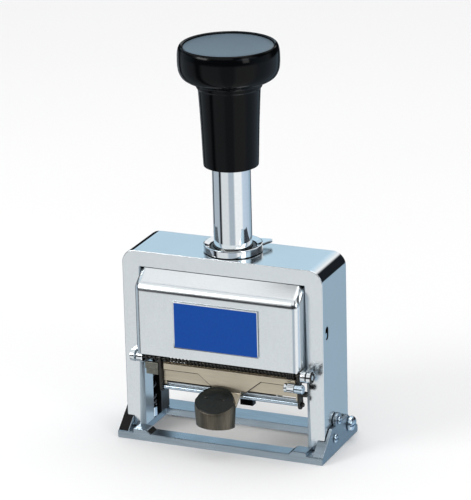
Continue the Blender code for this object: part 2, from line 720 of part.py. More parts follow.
def make_bush_and_ring():
    neck_top = CASING_TOP + BUSH_NECK_RISE
    profile = [
        (BUSH_NECK, neck_top),
        (BUSH_NECK, CASING_TOP),
        (BUSH_FLANGE, CASING_TOP),
        (BUSH_FLANGE, STEM_BOTTOM),
        (BUSH_BORE, STEM_BOTTOM),
        (BUSH_BORE, neck_top),
    ]
    show("stem_bush", turned(profile, "Z", (0, 0, 0), bored=True), DARK_STEEL)
    top = RING_BOTTOM + RING_HEIGHT
    profile = [
        (RING_RADIUS - RING_RIM, top),
        (RING_RADIUS, top - RING_RIM),
        (RING_RADIUS, RING_BOTTOM),
        (RING_BORE, RING_BOTTOM),
        (RING_BORE, top - RING_DISH),
    ]
    ring = show("lock_ring", turned(profile, "Z", (0, 0, 0), bored=True), CHROME, LOCK)
    root = (RING_RADIUS + RING_BORE) / 2
    reach = Vector((math.cos(TAB_ANGLE), math.sin(TAB_ANGLE), 0))
    across = Vector((-math.sin(TAB_ANGLE), math.cos(TAB_ANGLE), 0))
    tips = [reach * TAB_REACH + across * side * TAB_TIP_WIDTH / 2 for side in (-1, 1)]
    outline = [(tips[0].x, tips[0].y), (tips[1].x, tips[1].y)]
    outline += arc((0, 0), root, TAB_ANGLE + TAB_ROOT_SPREAD, TAB_ANGLE - TAB_ROOT_SPREAD, SMALL_STEPS // 2)
    join(ring, prism(outline, "Z", RING_BOTTOM + TAB_RISE, RING_BOTTOM + TAB_RISE + TAB_THICK))


def make_stem_and_knob():
    profile = [
        (STEM_SPIGOT, SPIGOT_TOP),
        (STEM_SPIGOT, SPIGOT_SHOULDER),
        (STEM_RADIUS, SPIGOT_SHOULDER),
        (STEM_RADIUS, STEM_BOTTOM),
    ]
    show("stem", turned(profile, "Z", (0, 0, 0)), CHROME, PLUNGER)
    length = KNOB_TOP - GRIP_BOTTOM
    recess = CAP_RADIUS + HOLE_GAP
    floor = KNOB_TOP - CAP_THICK - SEAT_GAP
    profile = [(0, floor), (recess, floor), (recess, KNOB_TOP - SEAT_GAP)]
    profile += [(r * KNOB_RADIUS, GRIP_BOTTOM + h * length) for r, h in KNOB_OUTLINE_SHARES]
    socket = STEM_RADIUS + HOLE_GAP
    spigot = STEM_SPIGOT + HOLE_GAP
    profile += [(socket, GRIP_BOTTOM), (socket, SPIGOT_SHOULDER + SEAT_GAP)]
    profile += [(spigot, SPIGOT_SHOULDER + SEAT_GAP), (spigot, SPIGOT_TOP + SEAT_GAP)]
    profile += [(0, SPIGOT_TOP + SEAT_GAP)]
    show("knob", turned(profile, "Z", (0, 0, 0), ROUND_STEPS), BLACK_PLASTIC, PLUNGER)
    edge = KNOB_TOP - CAP_DOME
    profile = [
        (0, KNOB_TOP),
        (CAP_RADIUS / 2, KNOB_TOP - CAP_DOME / 4),
        (CAP_RADIUS, edge),
        (CAP_RADIUS, KNOB_TOP - CAP_THICK),
        (0, KNOB_TOP - CAP_THICK),
    ]
    show("knob_cap", turned(profile, "Z", (0, 0, 0)), CAP_GREY, PLUNGER)


def lobe_place():
    return (DETENT_RADIUS * math.cos(DETENT_ANGLE), WHEEL_Z + DETENT_RADIUS * math.sin(DETENT_ANGLE))


def make_plunger_frame():
    ear_inner = PLATE_OUTER + SEAT_GAP
    ear_outer = GROOVE_OUTER - SEAT_GAP
    ear_half = GROOVE_WIDTH / 2 - SEAT_GAP
    bar_half = YOKE_DEPTH / 2
    low = (-ear_inner - OVERRUN, -bar_half, YOKE_BOTTOM)
    yoke = show("yoke", box(low, (ear_inner + OVERRUN, bar_half, YOKE_TOP)), STEEL, PLUNGER)
    for side in (-1, 1):
        low_x, high_x = sorted((side * ear_inner, side * ear_outer))
        join(yoke, box((low_x, -ear_half, EAR_BOTTOM), (high_x, ear_half, YOKE_TOP)))
        centre = (side * GROOVE_CENTRE, 0, 0)
        join(yoke, rod(SPIGOT_RADIUS, "Z", centre, EAR_BOTTOM - SPIGOT_LENGTH, EAR_BOTTOM + OVERRUN))
    lobe_y, lobe_z = lobe_place()
    top = YOKE_BOTTOM - SEAT_GAP
    foot = WHEEL_Z - PLATE_BELOW_SHAFT
    outline = [
        (-PLATE_FOOT_HALF, foot),
        (PLATE_FOOT_HALF, foot),
        (PLATE_HALF, WHEEL_Z),
        (PLATE_HALF, top),
        (-PLATE_HALF, top),
        (-PLATE_HALF, lobe_z + 2 * PLATE_LOBE),
        (lobe_y - PLATE_LOBE, lobe_z + PLATE_LOBE / 2),
        (lobe_y - PLATE_LOBE, lobe_z - PLATE_LOBE / 2),
        (-PLATE_HALF, lobe_z - 2 * PLATE_LOBE),
    ]
    for label, side in (("left", -1), ("right", 1)):
        ends = sorted((side * PLATE_INNER, side * PLATE_OUTER))
        plate = show(f"side_plate_{label}", prism(outline, "X", *ends), STEEL, PLUNGER)
        past = sorted((side * (PLATE_INNER - OVERRUN), side * (PLATE_OUTER + OVERRUN)))
        cut(plate, rod(SHAFT_RADIUS + HOLE_GAP, "X", (0, 0, WHEEL_Z), *past))
        cut(plate, rod(COMB_ROD + HOLE_GAP, "X", (0, lobe_y, lobe_z), *past))


def make_shaft():
    centre = (0, 0, WHEEL_Z)
    nut_inner = PLATE_OUTER + SEAT_GAP
    end = nut_inner + SHAFT_NUT_THICK
    show("wheel_shaft", rod(SHAFT_RADIUS, "X", centre, -end, end), STEEL, PLUNGER)
    bore = SHAFT_RADIUS + HOLE_GAP
    sleeve_inner = WHEELS_HALF + SEAT_GAP + PAWL_ARM_THICK + SEAT_GAP
    for label, side in (("left", -1), ("right", 1)):
        ends = sorted((side * nut_inner, side * end))
        nut = tube(SHAFT_NUT_RADIUS, bore, "X", centre, *ends, SHAFT_NUT_SIDES * 2)
        show(f"shaft_nut_{label}", nut, STEEL, PLUNGER)
        ends = sorted((side * sleeve_inner, side * (PLATE_INNER - SEAT_GAP)))
        sleeve = tube(bore + SLEEVE_WALL, bore, "X", centre, *ends, SMALL_STEPS)
        show(f"shaft_sleeve_{label}", sleeve, BRASS, PLUNGER)


def wheel_left(index):
    return -WHEELS_HALF + index * WHEEL_PITCH


def make_wheels():
    """Each wheel carries ten raised type lands and a saw-toothed ratchet on one bored hub."""
    types = []
    teeth = []
    for digit in range(DIGIT_COUNT):
        for place, (land, rise) in enumerate(zip(TYPE_LAND_SHARES, RATCHET_RISE_SHARES)):
            turn = math.tau * (digit + land) / DIGIT_COUNT - math.pi / 2 - math.pi / DIGIT_COUNT
            raised = TYPE_RADIUS if place in (1, 2) else TYPE_BODY_RADIUS
            types.append((turn, raised))
            teeth.append((turn, RATCHET_ROOT + rise * (RATCHET_TIP - RATCHET_ROOT)))
    bore = [(turn, SHAFT_RADIUS + HOLE_GAP) for turn, _ in types]
    for index in range(WHEEL_COUNT):
        left = wheel_left(index)
        middle = left + TYPE_WIDTH
        right = middle + RATCHET_WIDTH
        stack = [(left, types), (middle, types), (middle, teeth), (right, teeth), (right, bore), (left, bore)]
        form = bmesh.new()
        rings = []
        for along, ring in stack:
            spots = [(along, r * math.cos(t), WHEEL_Z + r * math.sin(t)) for t, r in ring]
            rings.append([form.verts.new(spot) for spot in spots])
        rings.append(rings[0])
        for one, two in zip(rings, rings[1:]):
            for k in range(len(one)):
                after = (k + 1) % len(one)
                form.faces.new((one[k], one[after], two[after], two[k]))
        wheel_mesh = mesh_from(form)
        show(f"number_wheel_{index + 1}", wheel_mesh, BRASS, WHEELS)


def comb(name, radius, angle, material, carrier):
    """A bored bar with one spring finger reaching to each wheel's ratchet."""
    centre_y = radius * math.cos(angle)
    centre_z = WHEEL_Z + radius * math.sin(angle)
    bore = COMB_ROD + HOLE_GAP
    outer = bore + COMB_TUBE_WALL
    centre = (0, centre_y, centre_z)
    sleeve = tube(outer, bore, "X", centre, -WHEELS_HALF, WHEELS_HALF, SMALL_STEPS)
    made = show(name, sleeve, material, carrier)
    inward = Vector((-math.cos(angle), -math.sin(angle)))
    across = Vector((-inward.y, inward.x))
    hub = Vector((centre_y, centre_z))
    tip = hub + inward * (radius - RATCHET_TIP - SEAT_GAP)
    root = hub + inward * (bore + COMB_TUBE_WALL / 2)
    corners = [
        root + across * FINGER_ROOT_WIDTH / 2,
        root - across * FINGER_ROOT_WIDTH / 2,
        tip - across * FINGER_TIP_WIDTH / 2,
        tip + across * FINGER_TIP_WIDTH / 2,
    ]
    outline = [(p.x, p.y) for p in corners]
    for index in range(WHEEL_COUNT):
        ratchet_left = wheel_left(index) + TYPE_WIDTH
        start = ratchet_left + (RATCHET_WIDTH - FINGER_WIDTH) / 2
        join(made, prism(outline, "X", start, start + FINGER_WIDTH))


def make_ratchet_drive():
    comb("pawl_comb", PAWL_RADIUS, PAWL_ANGLE, SPRING_STEEL, WHEELS)
    comb("detent_comb", DETENT_RADIUS, DETENT_ANGLE, SPRING_STEEL, PLUNGER)
    lobe_y, lobe_z = lobe_place()
    show("detent_rod", rod(COMB_ROD, "X", (0, lobe_y, lobe_z), -PLATE_OUTER, PLATE_OUTER), STEEL, PLUNGER)
    bar = (PAWL_RADIUS * math.cos(PAWL_ANGLE), WHEEL_Z + PAWL_RADIUS * math.sin(PAWL_ANGLE))
    outline = link_outline((0, WHEEL_Z), PAWL_EYE, bar, PAWL_BAR_EYE, SMALL_STEPS // 2)
    inner = WHEELS_HALF + SEAT_GAP
    outer = inner + PAWL_ARM_THICK
    frame = show("pawl_frame", prism(outline, "X", -outer, -inner), STEEL, WHEELS)
    join(frame, prism(outline, "X", inner, outer))
    join(frame, rod(COMB_ROD, "X", (0, *bar), -outer + PAWL_ARM_THICK / 2, outer - PAWL_ARM_THICK / 2))
    cut(frame, rod(SHAFT_RADIUS + HOLE_GAP, "X", (0, 0, WHEEL_Z), -outer - OVERRUN, outer + OVERRUN))


def return_spring_points(centre_x):
    """A helix whose end curls lie closer together than the rest."""
    total = SPRING_CURLS * CURL_POINTS
    points = []
    for k in range(total + 1):
        share = k / total
        if share < END_CURLS_SHARE:
            rise = share / END_CURLS_SHARE * END_RISE_SHARE
        elif share > 1 - END_CURLS_SHARE:
            rise = 1 - (1 - share) / END_CURLS_SHARE * END_RISE_SHARE
        else:
            open_part = (share - END_CURLS_SHARE) / (1 - 2 * END_CURLS_SHARE)
            rise = END_RISE_SHARE + open_part * (1 - 2 * END_RISE_SHARE)
        turn = math.tau * k / CURL_POINTS
        x = centre_x + SPRING_MEAN * math.cos(turn)
        y = SPRING_MEAN * math.sin(turn)
        points.append((x, y, SPRING_BOTTOM + rise * (SPRING_TOP - SPRING_BOTTOM)))
    return points


def make_return_springs():
    for label, side in (("left", -1), ("right", 1)):
        centre_x = side * GROOVE_CENTRE
        foot_top = LEG_BOTTOM + POST_FOOT_HEIGHT
        profile = [
            (POST_RADIUS, foot_top + POST_HEIGHT),
            (POST_RADIUS, foot_top),
            (POST_FOOT, foot_top),
            (POST_FOOT, LEG_BOTTOM),
        ]
        show(f"spring_post_{label}", turned(profile, "Z", (centre_x, 0, 0), SMALL_STEPS), STEEL)
        points = return_spring_points(centre_x)
        gap = least_self_gap(points, SPRING_WIRE, CURL_POINTS - 1)
        print(f"return_spring_{label} least gap to itself: {gap:.5f} m, wanted over {LEAST_SELF_GAP}")
        wire(f"return_spring_{label}", points, SPRING_WIRE, SPRING_STEEL)


def make_inker_pivot():
    head_inner = LEG_INNER + SEAT_GAP + EYE_LUG_WALL + SEAT_GAP
    profile = [
        (ROD_RADIUS, -head_inner),
        (ROD_RADIUS, -ROD_COLLAR_OUTER),
        (ROD_COLLAR, -ROD_COLLAR_OUTER),
        (ROD_COLLAR, -ROD_COLLAR_OUTER + ROD_COLLAR_THICK),
        (ROD_RADIUS, -ROD_COLLAR_OUTER + ROD_COLLAR_THICK),
        (ROD_RADIUS, head_inner),
        (ROD_HEAD, head_inner),
        (ROD_HEAD, head_inner + ROD_HEAD_THICK),
    ]
    show("inker_rod", turned(profile, "X", (0, INKER_Y, INKER_Z), SMALL_STEPS), CHROME)
    reach = COIL_WIRE + COIL_ARM_GAP
    stub_left = -ROD_COLLAR_OUTER + ROD_COLLAR_THICK + reach
    rod_coil("inker_spring_stub", COIL_STUB_CURLS, stub_left, -LEFT_ARM_OUTER - reach, COIL_MEAN)
    rod_coil("inker_spring", COIL_CURLS, TRAY_LEFT + reach, TRAY_RIGHT - reach, COIL_END_MEAN)


def rod_coil(name, curls, left, right, end_mean):
    """A coil on the inker's rod, whose last curls may be wider than the rest."""
    total = curls * CURL_POINTS
    points = []
    for k in range(total + 1):
        turn = math.tau * k / CURL_POINTS
        widened = max(0, (k / total - 1 + COIL_END_SHARE) / COIL_END_SHARE)
        radius = COIL_MEAN + (end_mean - COIL_MEAN) * widened
        x = left + (right - left) * k / total
        points.append((x, INKER_Y + radius * math.cos(turn), INKER_Z + radius * math.sin(turn)))
    gap = least_self_gap(points, COIL_WIRE, CURL_POINTS - 1)
    print(f"{name} least gap to itself: {gap:.5f} m, wanted over {LEAST_SELF_GAP}")
    wire(name, points, COIL_WIRE, DARK_STEEL)


def make_inker_arms():
    eye = (INKER_Y, INKER_Z)
    foot = (TRAY_ROD_Y, TRAY_ROD_Z)
    outline = link_outline(eye, ARM_EYE, foot, ARM_FOOT_EYE, SMALL_STEPS // 2)
    for label, side, outer in (("left", -1, LEFT_ARM_OUTER), ("right", 1, RIGHT_ARM_OUTER)):
        inner = outer - ARM_THICK
        ends = sorted((side * inner, side * outer))
        arm = show(f"inker_arm_{label}", prism(outline, "X", *ends), DARK_STEEL, INKER)
        past = sorted((side * (inner - OVERRUN), side * (outer + OVERRUN)))
        cut(arm, rod(ROD_RADIUS + HOLE_GAP, "X", (0, *eye), *past))
        cut(arm, rod(TRAY_ROD + HOLE_GAP, "X", (0, *foot), *past))
        if label == "right":
            pin = (0, (INKER_Y + TRAY_ROD_Y) / 2, INKER_Z - HOOK_PIN_DROP)
            join(arm, rod(HOOK_PIN_RADIUS, "X", pin, outer - ARM_THICK / 2, outer + HOOK_PIN_REACH))
            join(arm, rod(KNOB_NUT_RADIUS, "X", (0, HUB_Y, KNOB_NUT_Z), inner, outer + HUB_REACH))
    ends = (-LEFT_ARM_OUTER - ARM_THICK / 2, RIGHT_ARM_OUTER + ARM_THICK)
    show("tray_rod", rod(TRAY_ROD, "X", (0, *foot), *ends), STEEL, INKER)


def make_tray_and_pad():
    strip_back = TRAY_FRONT + TRAY_STRIP_DEPTH
    low = (TRAY_LEFT, TRAY_FRONT, TRAY_BOTTOM)
    tray = show("ink_tray", box(low, (TRAY_RIGHT, strip_back, TRAY_TOP)), NICKEL, INKER)
    rim_top = TRAY_TOP + TRAY_RIM
    wall = TRAY_RIM_WALL
    floor_front = strip_back - OVERRUN
    join(tray, box((-TRAY_HALF, floor_front, TRAY_BOTTOM), (TRAY_HALF, TRAY_BACK, TRAY_TOP)))
    sunk = TRAY_TOP - TRAY_FLOOR / 2
    join(tray, box((-TRAY_HALF, TRAY_BACK - wall, sunk), (TRAY_HALF, TRAY_BACK, rim_top)))
    panel_front = PANEL_BACK - PANEL_THICK
    for side in (-1, 1):
        low_x, high_x = sorted((side * (TRAY_HALF - wall), side * TRAY_HALF))
        join(tray, box((low_x, TRAY_FRONT, sunk), (high_x, TRAY_BACK - wall / 2, rim_top)))
    for low_x, high_x in ((TRAY_LEFT, TRAY_LEFT + PANEL_BRIDGE), (TRAY_RIGHT - PANEL_BRIDGE, TRAY_RIGHT)):
        join(tray, box((low_x, panel_front + PANEL_THICK / 2, sunk), (high_x, strip_back, PANEL_TOP)))
    join(tray, box((TRAY_LEFT, panel_front, PANEL_BOTTOM), (TRAY_RIGHT, PANEL_BACK, PANEL_TOP)))
    rod_room = TRAY_ROD + SEAT_GAP
    past = (TRAY_LEFT - OVERRUN, TRAY_RIGHT + OVERRUN)
    cut(tray, rod(rod_room, "X", (0, TRAY_ROD_Y, TRAY_ROD_Z), *past))
    pad_half = TRAY_HALF - wall - PAD_SIDE_GAP
    low = (-pad_half, TRAY_FRONT + PAD_SIDE_GAP, PAD_BOTTOM)
    high = (pad_half, TRAY_BACK - wall - PAD_SIDE_GAP, PAD_TOP)
    show("ink_pad", box(low, high), FELT, INKER)


def make_holder():
    back = INKER_Y + HOLDER_THICK / 2
    outline = [
        (HOLDER_LEFT, HOLDER_TOP),
        (HOLDER_LEFT, HOLDER_BAND_BOTTOM),
        (HOLDER_MIDDLE - HOLDER_KNEE, HOLDER_BAND_BOTTOM),
        (HOLDER_MIDDLE - HOLDER_APEX, HOLDER_BOTTOM),
        (HOLDER_MIDDLE + HOLDER_APEX, HOLDER_BOTTOM),
        (HOLDER_MIDDLE + HOLDER_KNEE, HOLDER_BAND_BOTTOM),
        (HOLDER_RIGHT, HOLDER_BAND_BOTTOM),
        (HOLDER_RIGHT, HOLDER_TOP),
    ]
    plate = show("holder_plate", prism(outline, "Y", HOLDER_FRONT, back), NICKEL, INKER)
    under_tab = (THUMB_THICK + SEAT_GAP) / math.cos(THUMB_TILT)
    thick = HOLDER_THICK / math.cos(THUMB_TILT)
    tip = HOLDER_FRONT - TONGUE_REACH
    tops = [THUMB_ROOT_Z - under_tab + (y - THUMB_ROOT_Y) * THUMB_DROP for y in (back, HOLDER_FRONT, tip)]
    tongue = [
        (back, HOLDER_BOTTOM + TONGUE_ROOT_RISE),
        (HOLDER_FRONT, HOLDER_BOTTOM + TONGUE_ROOT_RISE),
        (HOLDER_FRONT, tops[1]),
        (tip, tops[2]),
        (tip, tops[2] - thick),
        (back, tops[0] - thick),
    ]
    join(plate, prism(tongue, "X", TONGUE_LEFT, TONGUE_RIGHT))
    low = (BLOCK_LEFT, back - BLOCK_THICK, BLOCK_BOTTOM)
    high = (-LEFT_ARM_OUTER - SEAT_GAP, back, HOLDER_TOP)
    show("holder_block", box(low, high), STEEL, INKER)
    centre = (0, HUB_Y, KNOB_NUT_Z)
    nut = rod(KNOB_NUT_RADIUS, "X", centre, TRAY_RIGHT - KNOB_NUT_LENGTH, TRAY_RIGHT)
    show("holder_nut", nut, CHROME, INKER)
    catch_top = TRAY_BOTTOM - SEAT_GAP
    low = (CATCH_LEFT, TRAY_FRONT, catch_top - CATCH_HEIGHT)
    high = (CATCH_LEFT + CATCH_WIDTH, TRAY_FRONT + CATCH_DEPTH, catch_top)
    show("holder_catch", box(low, high), BLACK_PLASTIC, INKER)


def make_thumb_tab():
    """An oval plate sloping forward and down, with its front edge folded straight down."""
    half_length = THUMB_LENGTH / 2
    reach = THUMB_LENGTH * math.cos(THUMB_TILT)
    middle_y = THUMB_ROOT_Y - reach / 2
    form = bmesh.new()
    corners = []
    for k in range(THUMB_STEPS):
        turn = math.tau * k / THUMB_STEPS
        across = THUMB_OFFSET + THUMB_HALF_WIDTH * math.cos(turn)
        along = half_length * math.sin(turn)
        y = middle_y + along * math.cos(THUMB_TILT)
        z = THUMB_ROOT_Z + (y - THUMB_ROOT_Y) * THUMB_DROP
        corners.append(form.verts.new((across, y, z)))
    face = form.faces.new(corners)
    drawn = bmesh.ops.extrude_face_region(form, geom=[face])
    moved = [v for v in drawn["geom"] if isinstance(v, bmesh.types.BMVert)]
    bmesh.ops.translate(form, verts=moved, vec=(0, 0, -THUMB_THICK / math.cos(THUMB_TILT)))
    tab = show("thumb_tab", mesh_from(form), DARK_STEEL, INKER)
    outer = arc((0, 0), 1, math.pi, math.tau, SMALL_STEPS)
    outline = [(THUMB_OFFSET + THUMB_HALF_WIDTH * x, middle_y + reach / 2 * y) for x, y in outer]
    inner_half = THUMB_HALF_WIDTH - APRON_WALL
    inner_reach = reach / 2 - APRON_WALL
    outline += [(THUMB_OFFSET + inner_half * x, middle_y + inner_reach * y) for x, y in reversed(outer)]
    tip_z = THUMB_ROOT_Z - reach * THUMB_DROP
    skirt_bottom = tip_z - APRON_HEIGHT
    join(tab, prism(outline, "Z", skirt_bottom, THUMB_ROOT_Z))
    top = [
        (THUMB_ROOT_Y, THUMB_ROOT_Z),
        (THUMB_ROOT_Y - reach - OVERRUN, tip_z - OVERRUN * THUMB_DROP),
        (THUMB_ROOT_Y - reach - OVERRUN, THUMB_ROOT_Z + OVERRUN),
        (THUMB_ROOT_Y, THUMB_ROOT_Z + OVERRUN),
    ]
    past = THUMB_HALF_WIDTH + OVERRUN
    cut(tab, prism(top, "X", THUMB_OFFSET - past, THUMB_OFFSET + past))


def make_dial():
    back = REAR_FACE + SEAT_GAP
    outline = []
    for k in range(2 * DIAL_FLUTES):
        turn = math.pi * k / DIAL_FLUTES
        radius = DIAL_RADIUS if k % 2 == 0 else DIAL_RADIUS * DIAL_FLUTE_SHARE
        outline.append((DIAL_X + radius * math.cos(turn), DIAL_Z + radius * math.sin(turn)))
    dial = show("selector_dial", prism(outline, "Y", back, back + DIAL_THICK), STEEL, DIAL)
    centre = (DIAL_X, 0, DIAL_Z)
    cut(dial, rod(DIAL_PIVOT + HOLE_GAP, "Y", centre, back - OVERRUN, back + DIAL_THICK + OVERRUN))
    face = back + DIAL_THICK + SEAT_GAP
    profile = [
        (DIAL_SCREW_HEAD, face + DIAL_SCREW_THICK),
        (DIAL_SCREW_HEAD, face),
        (DIAL_PIVOT, face),
        (DIAL_PIVOT, REAR_FACE - COVER_WALL),
    ]
    screw = show("dial_screw", turned(profile, "Y", centre, SMALL_STEPS), STEEL)
    low = (DIAL_X - DIAL_SCREW_HEAD - OVERRUN, face + DIAL_SCREW_THICK / 2, DIAL_Z - SCREW_SLOT / 2)
    high = (DIAL_X + DIAL_SCREW_HEAD + OVERRUN, face + DIAL_SCREW_THICK + OVERRUN, DIAL_Z + SCREW_SLOT / 2)
    cut(screw, box(low, high))


def centre_on_origin():
    """Move everything along Y, so that the origin lies under the middle of the part's box."""
    for made in bpy.data.objects:
        if made.parent is None:
            made.location.y += FRAME_SHIFT


make_casing()
make_covers()
make_label()
make_base()
make_bush_and_ring()
make_stem_and_knob()
make_plunger_frame()
make_shaft()
make_wheels()
make_ratchet_drive()
make_return_springs()
make_inker_pivot()
make_inker_arms()
make_tray_and_pad()
make_holder()
make_thumb_tab()
make_dial()
centre_on_origin()
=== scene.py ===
"""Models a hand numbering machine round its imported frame: arch, sprung knob, ink pad and number wheels."""

import math

import bmesh
import bpy
from bpy.props import FloatProperty, FloatVectorProperty, IntProperty, PointerProperty
from mathutils import Matrix, Vector


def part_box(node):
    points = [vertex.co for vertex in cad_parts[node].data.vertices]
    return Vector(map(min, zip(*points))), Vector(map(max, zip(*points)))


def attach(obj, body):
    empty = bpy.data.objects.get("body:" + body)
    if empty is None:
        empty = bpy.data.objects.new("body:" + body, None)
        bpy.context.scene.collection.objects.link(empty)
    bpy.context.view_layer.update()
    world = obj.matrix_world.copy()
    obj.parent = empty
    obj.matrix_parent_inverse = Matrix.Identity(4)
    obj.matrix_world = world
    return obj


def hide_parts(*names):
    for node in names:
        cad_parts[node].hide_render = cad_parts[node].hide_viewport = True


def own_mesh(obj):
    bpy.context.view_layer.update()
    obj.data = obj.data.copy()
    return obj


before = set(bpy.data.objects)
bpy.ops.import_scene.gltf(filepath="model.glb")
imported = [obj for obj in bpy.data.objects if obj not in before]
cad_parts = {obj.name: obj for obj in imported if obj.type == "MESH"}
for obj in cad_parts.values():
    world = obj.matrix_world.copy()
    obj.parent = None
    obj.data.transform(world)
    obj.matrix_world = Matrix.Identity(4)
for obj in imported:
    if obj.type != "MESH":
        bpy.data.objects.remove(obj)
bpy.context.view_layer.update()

bl_info = {
    "name": "Numbering machine",
    "version": (1, 0, 0),
    "blender": (4, 5, 0),
    "location": "View3D > Sidebar > Numbering machine",
    "description": "Models a hand numbering machine with a sprung knob round its packed frame",
    "category": "Object",
}

# The stem's axis is home for every size below: pieces are modelled there and moved to the frame's own place
stem_low, stem_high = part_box("stem")
HOME = Vector((0, (stem_low.y + stem_high.y) / 2, 0))
SEAT_GAP = 0.0003
OVERRUN = 0.001
TOUCH = 1e-5
# Roundings of small edges
FINE_EDGE = 0.00012
SHEET_EDGE = 0.00015
SMALL_EDGE = 0.0002
BLUNT_EDGE = 0.0003
TURNED_RIM = 0.0004
SIDES = (("left", -1), ("right", 1))

# Arch
ARCH_HALF = 0.042
ARCH_FRONT = 0.0126
ARCH_TOP = 0.077
ARCH_UNDERSIDE = 0.0705
LEG_INNER = 0.0346
LEG_FOOT = 0.0033
GROOVE_HALF = 0.0036
GROOVE_OUTER = 0.0404
STEM_HOLE = 0.0105
EYE_LUG = 0.0024
EYE_LUG_INNER = 0.0349
EYE_LUG_OUTER = 0.0369
KEYHOLE_Y = 0.0085
KEYHOLE_Z = 0.0496
KEYHOLE_RISE = 0.0024
KEYHOLE_ROUND = 0.0015
KEYHOLE_DEPTH = 0.0015
KEYHOLE_REACH = 0.006
EYE_LUG_ROOT = 0.003
# Faces above this height that look down belong to the arch's roof
ROOF_START = 0.062

# Hoods over the mechanism
HOOD_HALF = 0.0345
HOOD_TOP = 0.0704
HOOD_BACK = 0.0062
HOOD_WALL = 0.001
FRONT_FACE = 0.0196
FRONT_BOTTOM = 0.037
FRONT_DROP = 0.0052
REAR_FACE = 0.0166
REAR_BOTTOM = 0.031
REAR_DROP = 0.003
REAR_FOLD_SHARE = 0.7
NOTCH_RADIUS = 0.0085
NOTCH_DEPTH = 0.006
HOOD_EDGE = 0.00014
PIN_HOLE = 0.0011

# Badge: how deep its enamel lies, and the step round it
BADGE_SUNK = 0.00006
BADGE_STEP = 0.00008

# Base
FOOT_HALF = 0.0435
FOOT_FRONT = 0.019
FOOT_THICK = 0.003
WINDOW_LOW = (-0.0353, -0.0124)
WINDOW_HIGH = (0.0353, 0.0093)
CHEEK_TOP = 0.0112
CHEEK_TOP_HALF = 0.0085
CHEEK_NOSE = 0.0024
CHEEK_INNER = 0.0423
WEDGE_INNER = 0.039
CHEEK_PROUD = 0.00005
CORNER_INNER = 0.0255
CORNER_SLOPE = 0.0055
CORNER_OUTER = 0.0368
CORNER_TOP = 0.0045
LUG_Y = -0.0015
LUG_Z = 0.0124
LUG_RADIUS = 0.0031

# Cheek screws: place across the side, height, shank, head radius, head thickness
CHEEK_SCREWS = {
    "front": (-0.0056, 0.0064, 0.0011, 0.0018, 0.0009),
    "rear": (0.0098, 0.0068, 0.0014, 0.0031, 0.0022),
    "upper": (LUG_Y, LUG_Z, 0.001, 0.0016, 0.0008),
}
SCREW_SEAT = 0.0438
SHANK_END = 0.0409
# A pan head's outline: radius and height as shares of the head's
PAN_HEAD_SHARES = ((0, 1), (0.45, 0.97), (0.75, 0.86), (0.93, 0.64), (1, 0.38), (1, 0.08), (0.95, 0))
SLOT_WIDTH = 0.0006

# Stem, knob, bush and collar
STEM_RADIUS = 0.0075
STEM_FOOT = 0.0705
SPIGOT_RADIUS = 0.0045
SHOULDER_Z = 0.12
SPIGOT_TOP = 0.129
KNOB_RADIUS = 0.0197
KNOB_TOP = 0.16
GRIP_FOOT = 0.1118
CAP_RADIUS = 0.0174
CAP_THICK = 0.001
CAP_DOME = 0.0005
BUSH_BORE = 0.0078
BUSH_NECK = 0.009
BUSH_FLANGE = 0.0102
BUSH_TOP = 0.079
COLLAR_RADIUS = 0.0116
COLLAR_BORE = 0.0093
COLLAR_FOOT = 0.0773
COLLAR_TOP = 0.0802
COLLAR_DISH = 0.0008
COLLAR_TAB_ANGLE = math.radians(40)
COLLAR_TAB_SPREAD = math.radians(26)
COLLAR_TAB_REACH = 0.0158
COLLAR_TAB_TIP = 0.0006
COLLAR_TAB_LOW = 0.0785
COLLAR_TAB_HIGH = 0.0797
# The knob's outline from its top down: radius as a share of the knob's, height as a share of its length
KNOB_OUTLINE_SHARES = (
    (0.935, 1.0), (0.962, 0.989), (0.983, 0.967), (0.996, 0.935), (1.0, 0.895), (0.998, 0.845),
    (0.98, 0.793), (0.924, 0.747), (0.822, 0.718), (0.71, 0.701), (0.66, 0.685), (0.648, 0.66),
    (0.625, 0.645), (0.609, 0.615), (0.574, 0.336), (0.548, 0.037), (0.535, 0.01), (0.513, 0.0),
)

# Wheels
WHEEL_COUNT = 6
DIGITS = "0123456789"
WHEEL_Z = 0.0345
WHEEL_PITCH = 0.0057
WHEELS_LEFT = -0.01695
TYPE_WIDTH = 0.0038
RATCHET_WIDTH = 0.0016
TYPE_FLAT = 0.0079
TYPE_VALLEY = 0.0076
TYPE_LAND_HALF = 0.0021
TYPE_FACE = 0.0082
DIGIT_THICK = 0.0003
TYPE_SIZE = 0.0056
RATCHET_TIP = 0.0066
RATCHET_ROOT = 0.0056
WHEEL_BORE = 0.0023

# Leg springs
SPRING_PLACE = 0.0375
SPRING_MEAN = 0.00195
SPRING_WIRE = 0.00045
SPRING_CURLS = 11
SPRING_FOOT = 0.00775
SPRING_HEAD = 0.04925
SPRING_END_SHARE = 0.16
SPRING_END_RISE = 0.06

# Inker
PIVOT_Y = -0.0174
PIVOT_Z = 0.0353
ROD_RADIUS = 0.0006
ROD_COLLAR = 0.0023
ROD_COLLAR_LEFT = -0.0344
ROD_COLLAR_RIGHT = -0.0317
ROD_END = 0.0372
ROD_HEAD = 0.0024
ROD_HEAD_END = 0.0394
COIL_MEAN = 0.00105
COIL_END_MEAN = 0.0013
COIL_END_WIRE = 0.00034
COIL_END_LEFT = 0.0287
COIL_END_CURLS = 4
COIL_LEFT = -0.0229
COIL_RIGHT = 0.0321
STUB_CURLS = 3
STUB_LEFT = -0.0309
STUB_RIGHT = -0.0258
ARM_THICK = 0.001
LEFT_ARM = 0.025
RIGHT_ARM = 0.0342
ARM_EYE = 0.0014
ARM_FOOT_EYE = 0.0019
HOOK_PIN = 0.0011
HOOK_PIN_Y = -0.0168
HOOK_PIN_Z = 0.0279
HOOK_PIN_END = 0.037
HUB_RADIUS = 0.0018
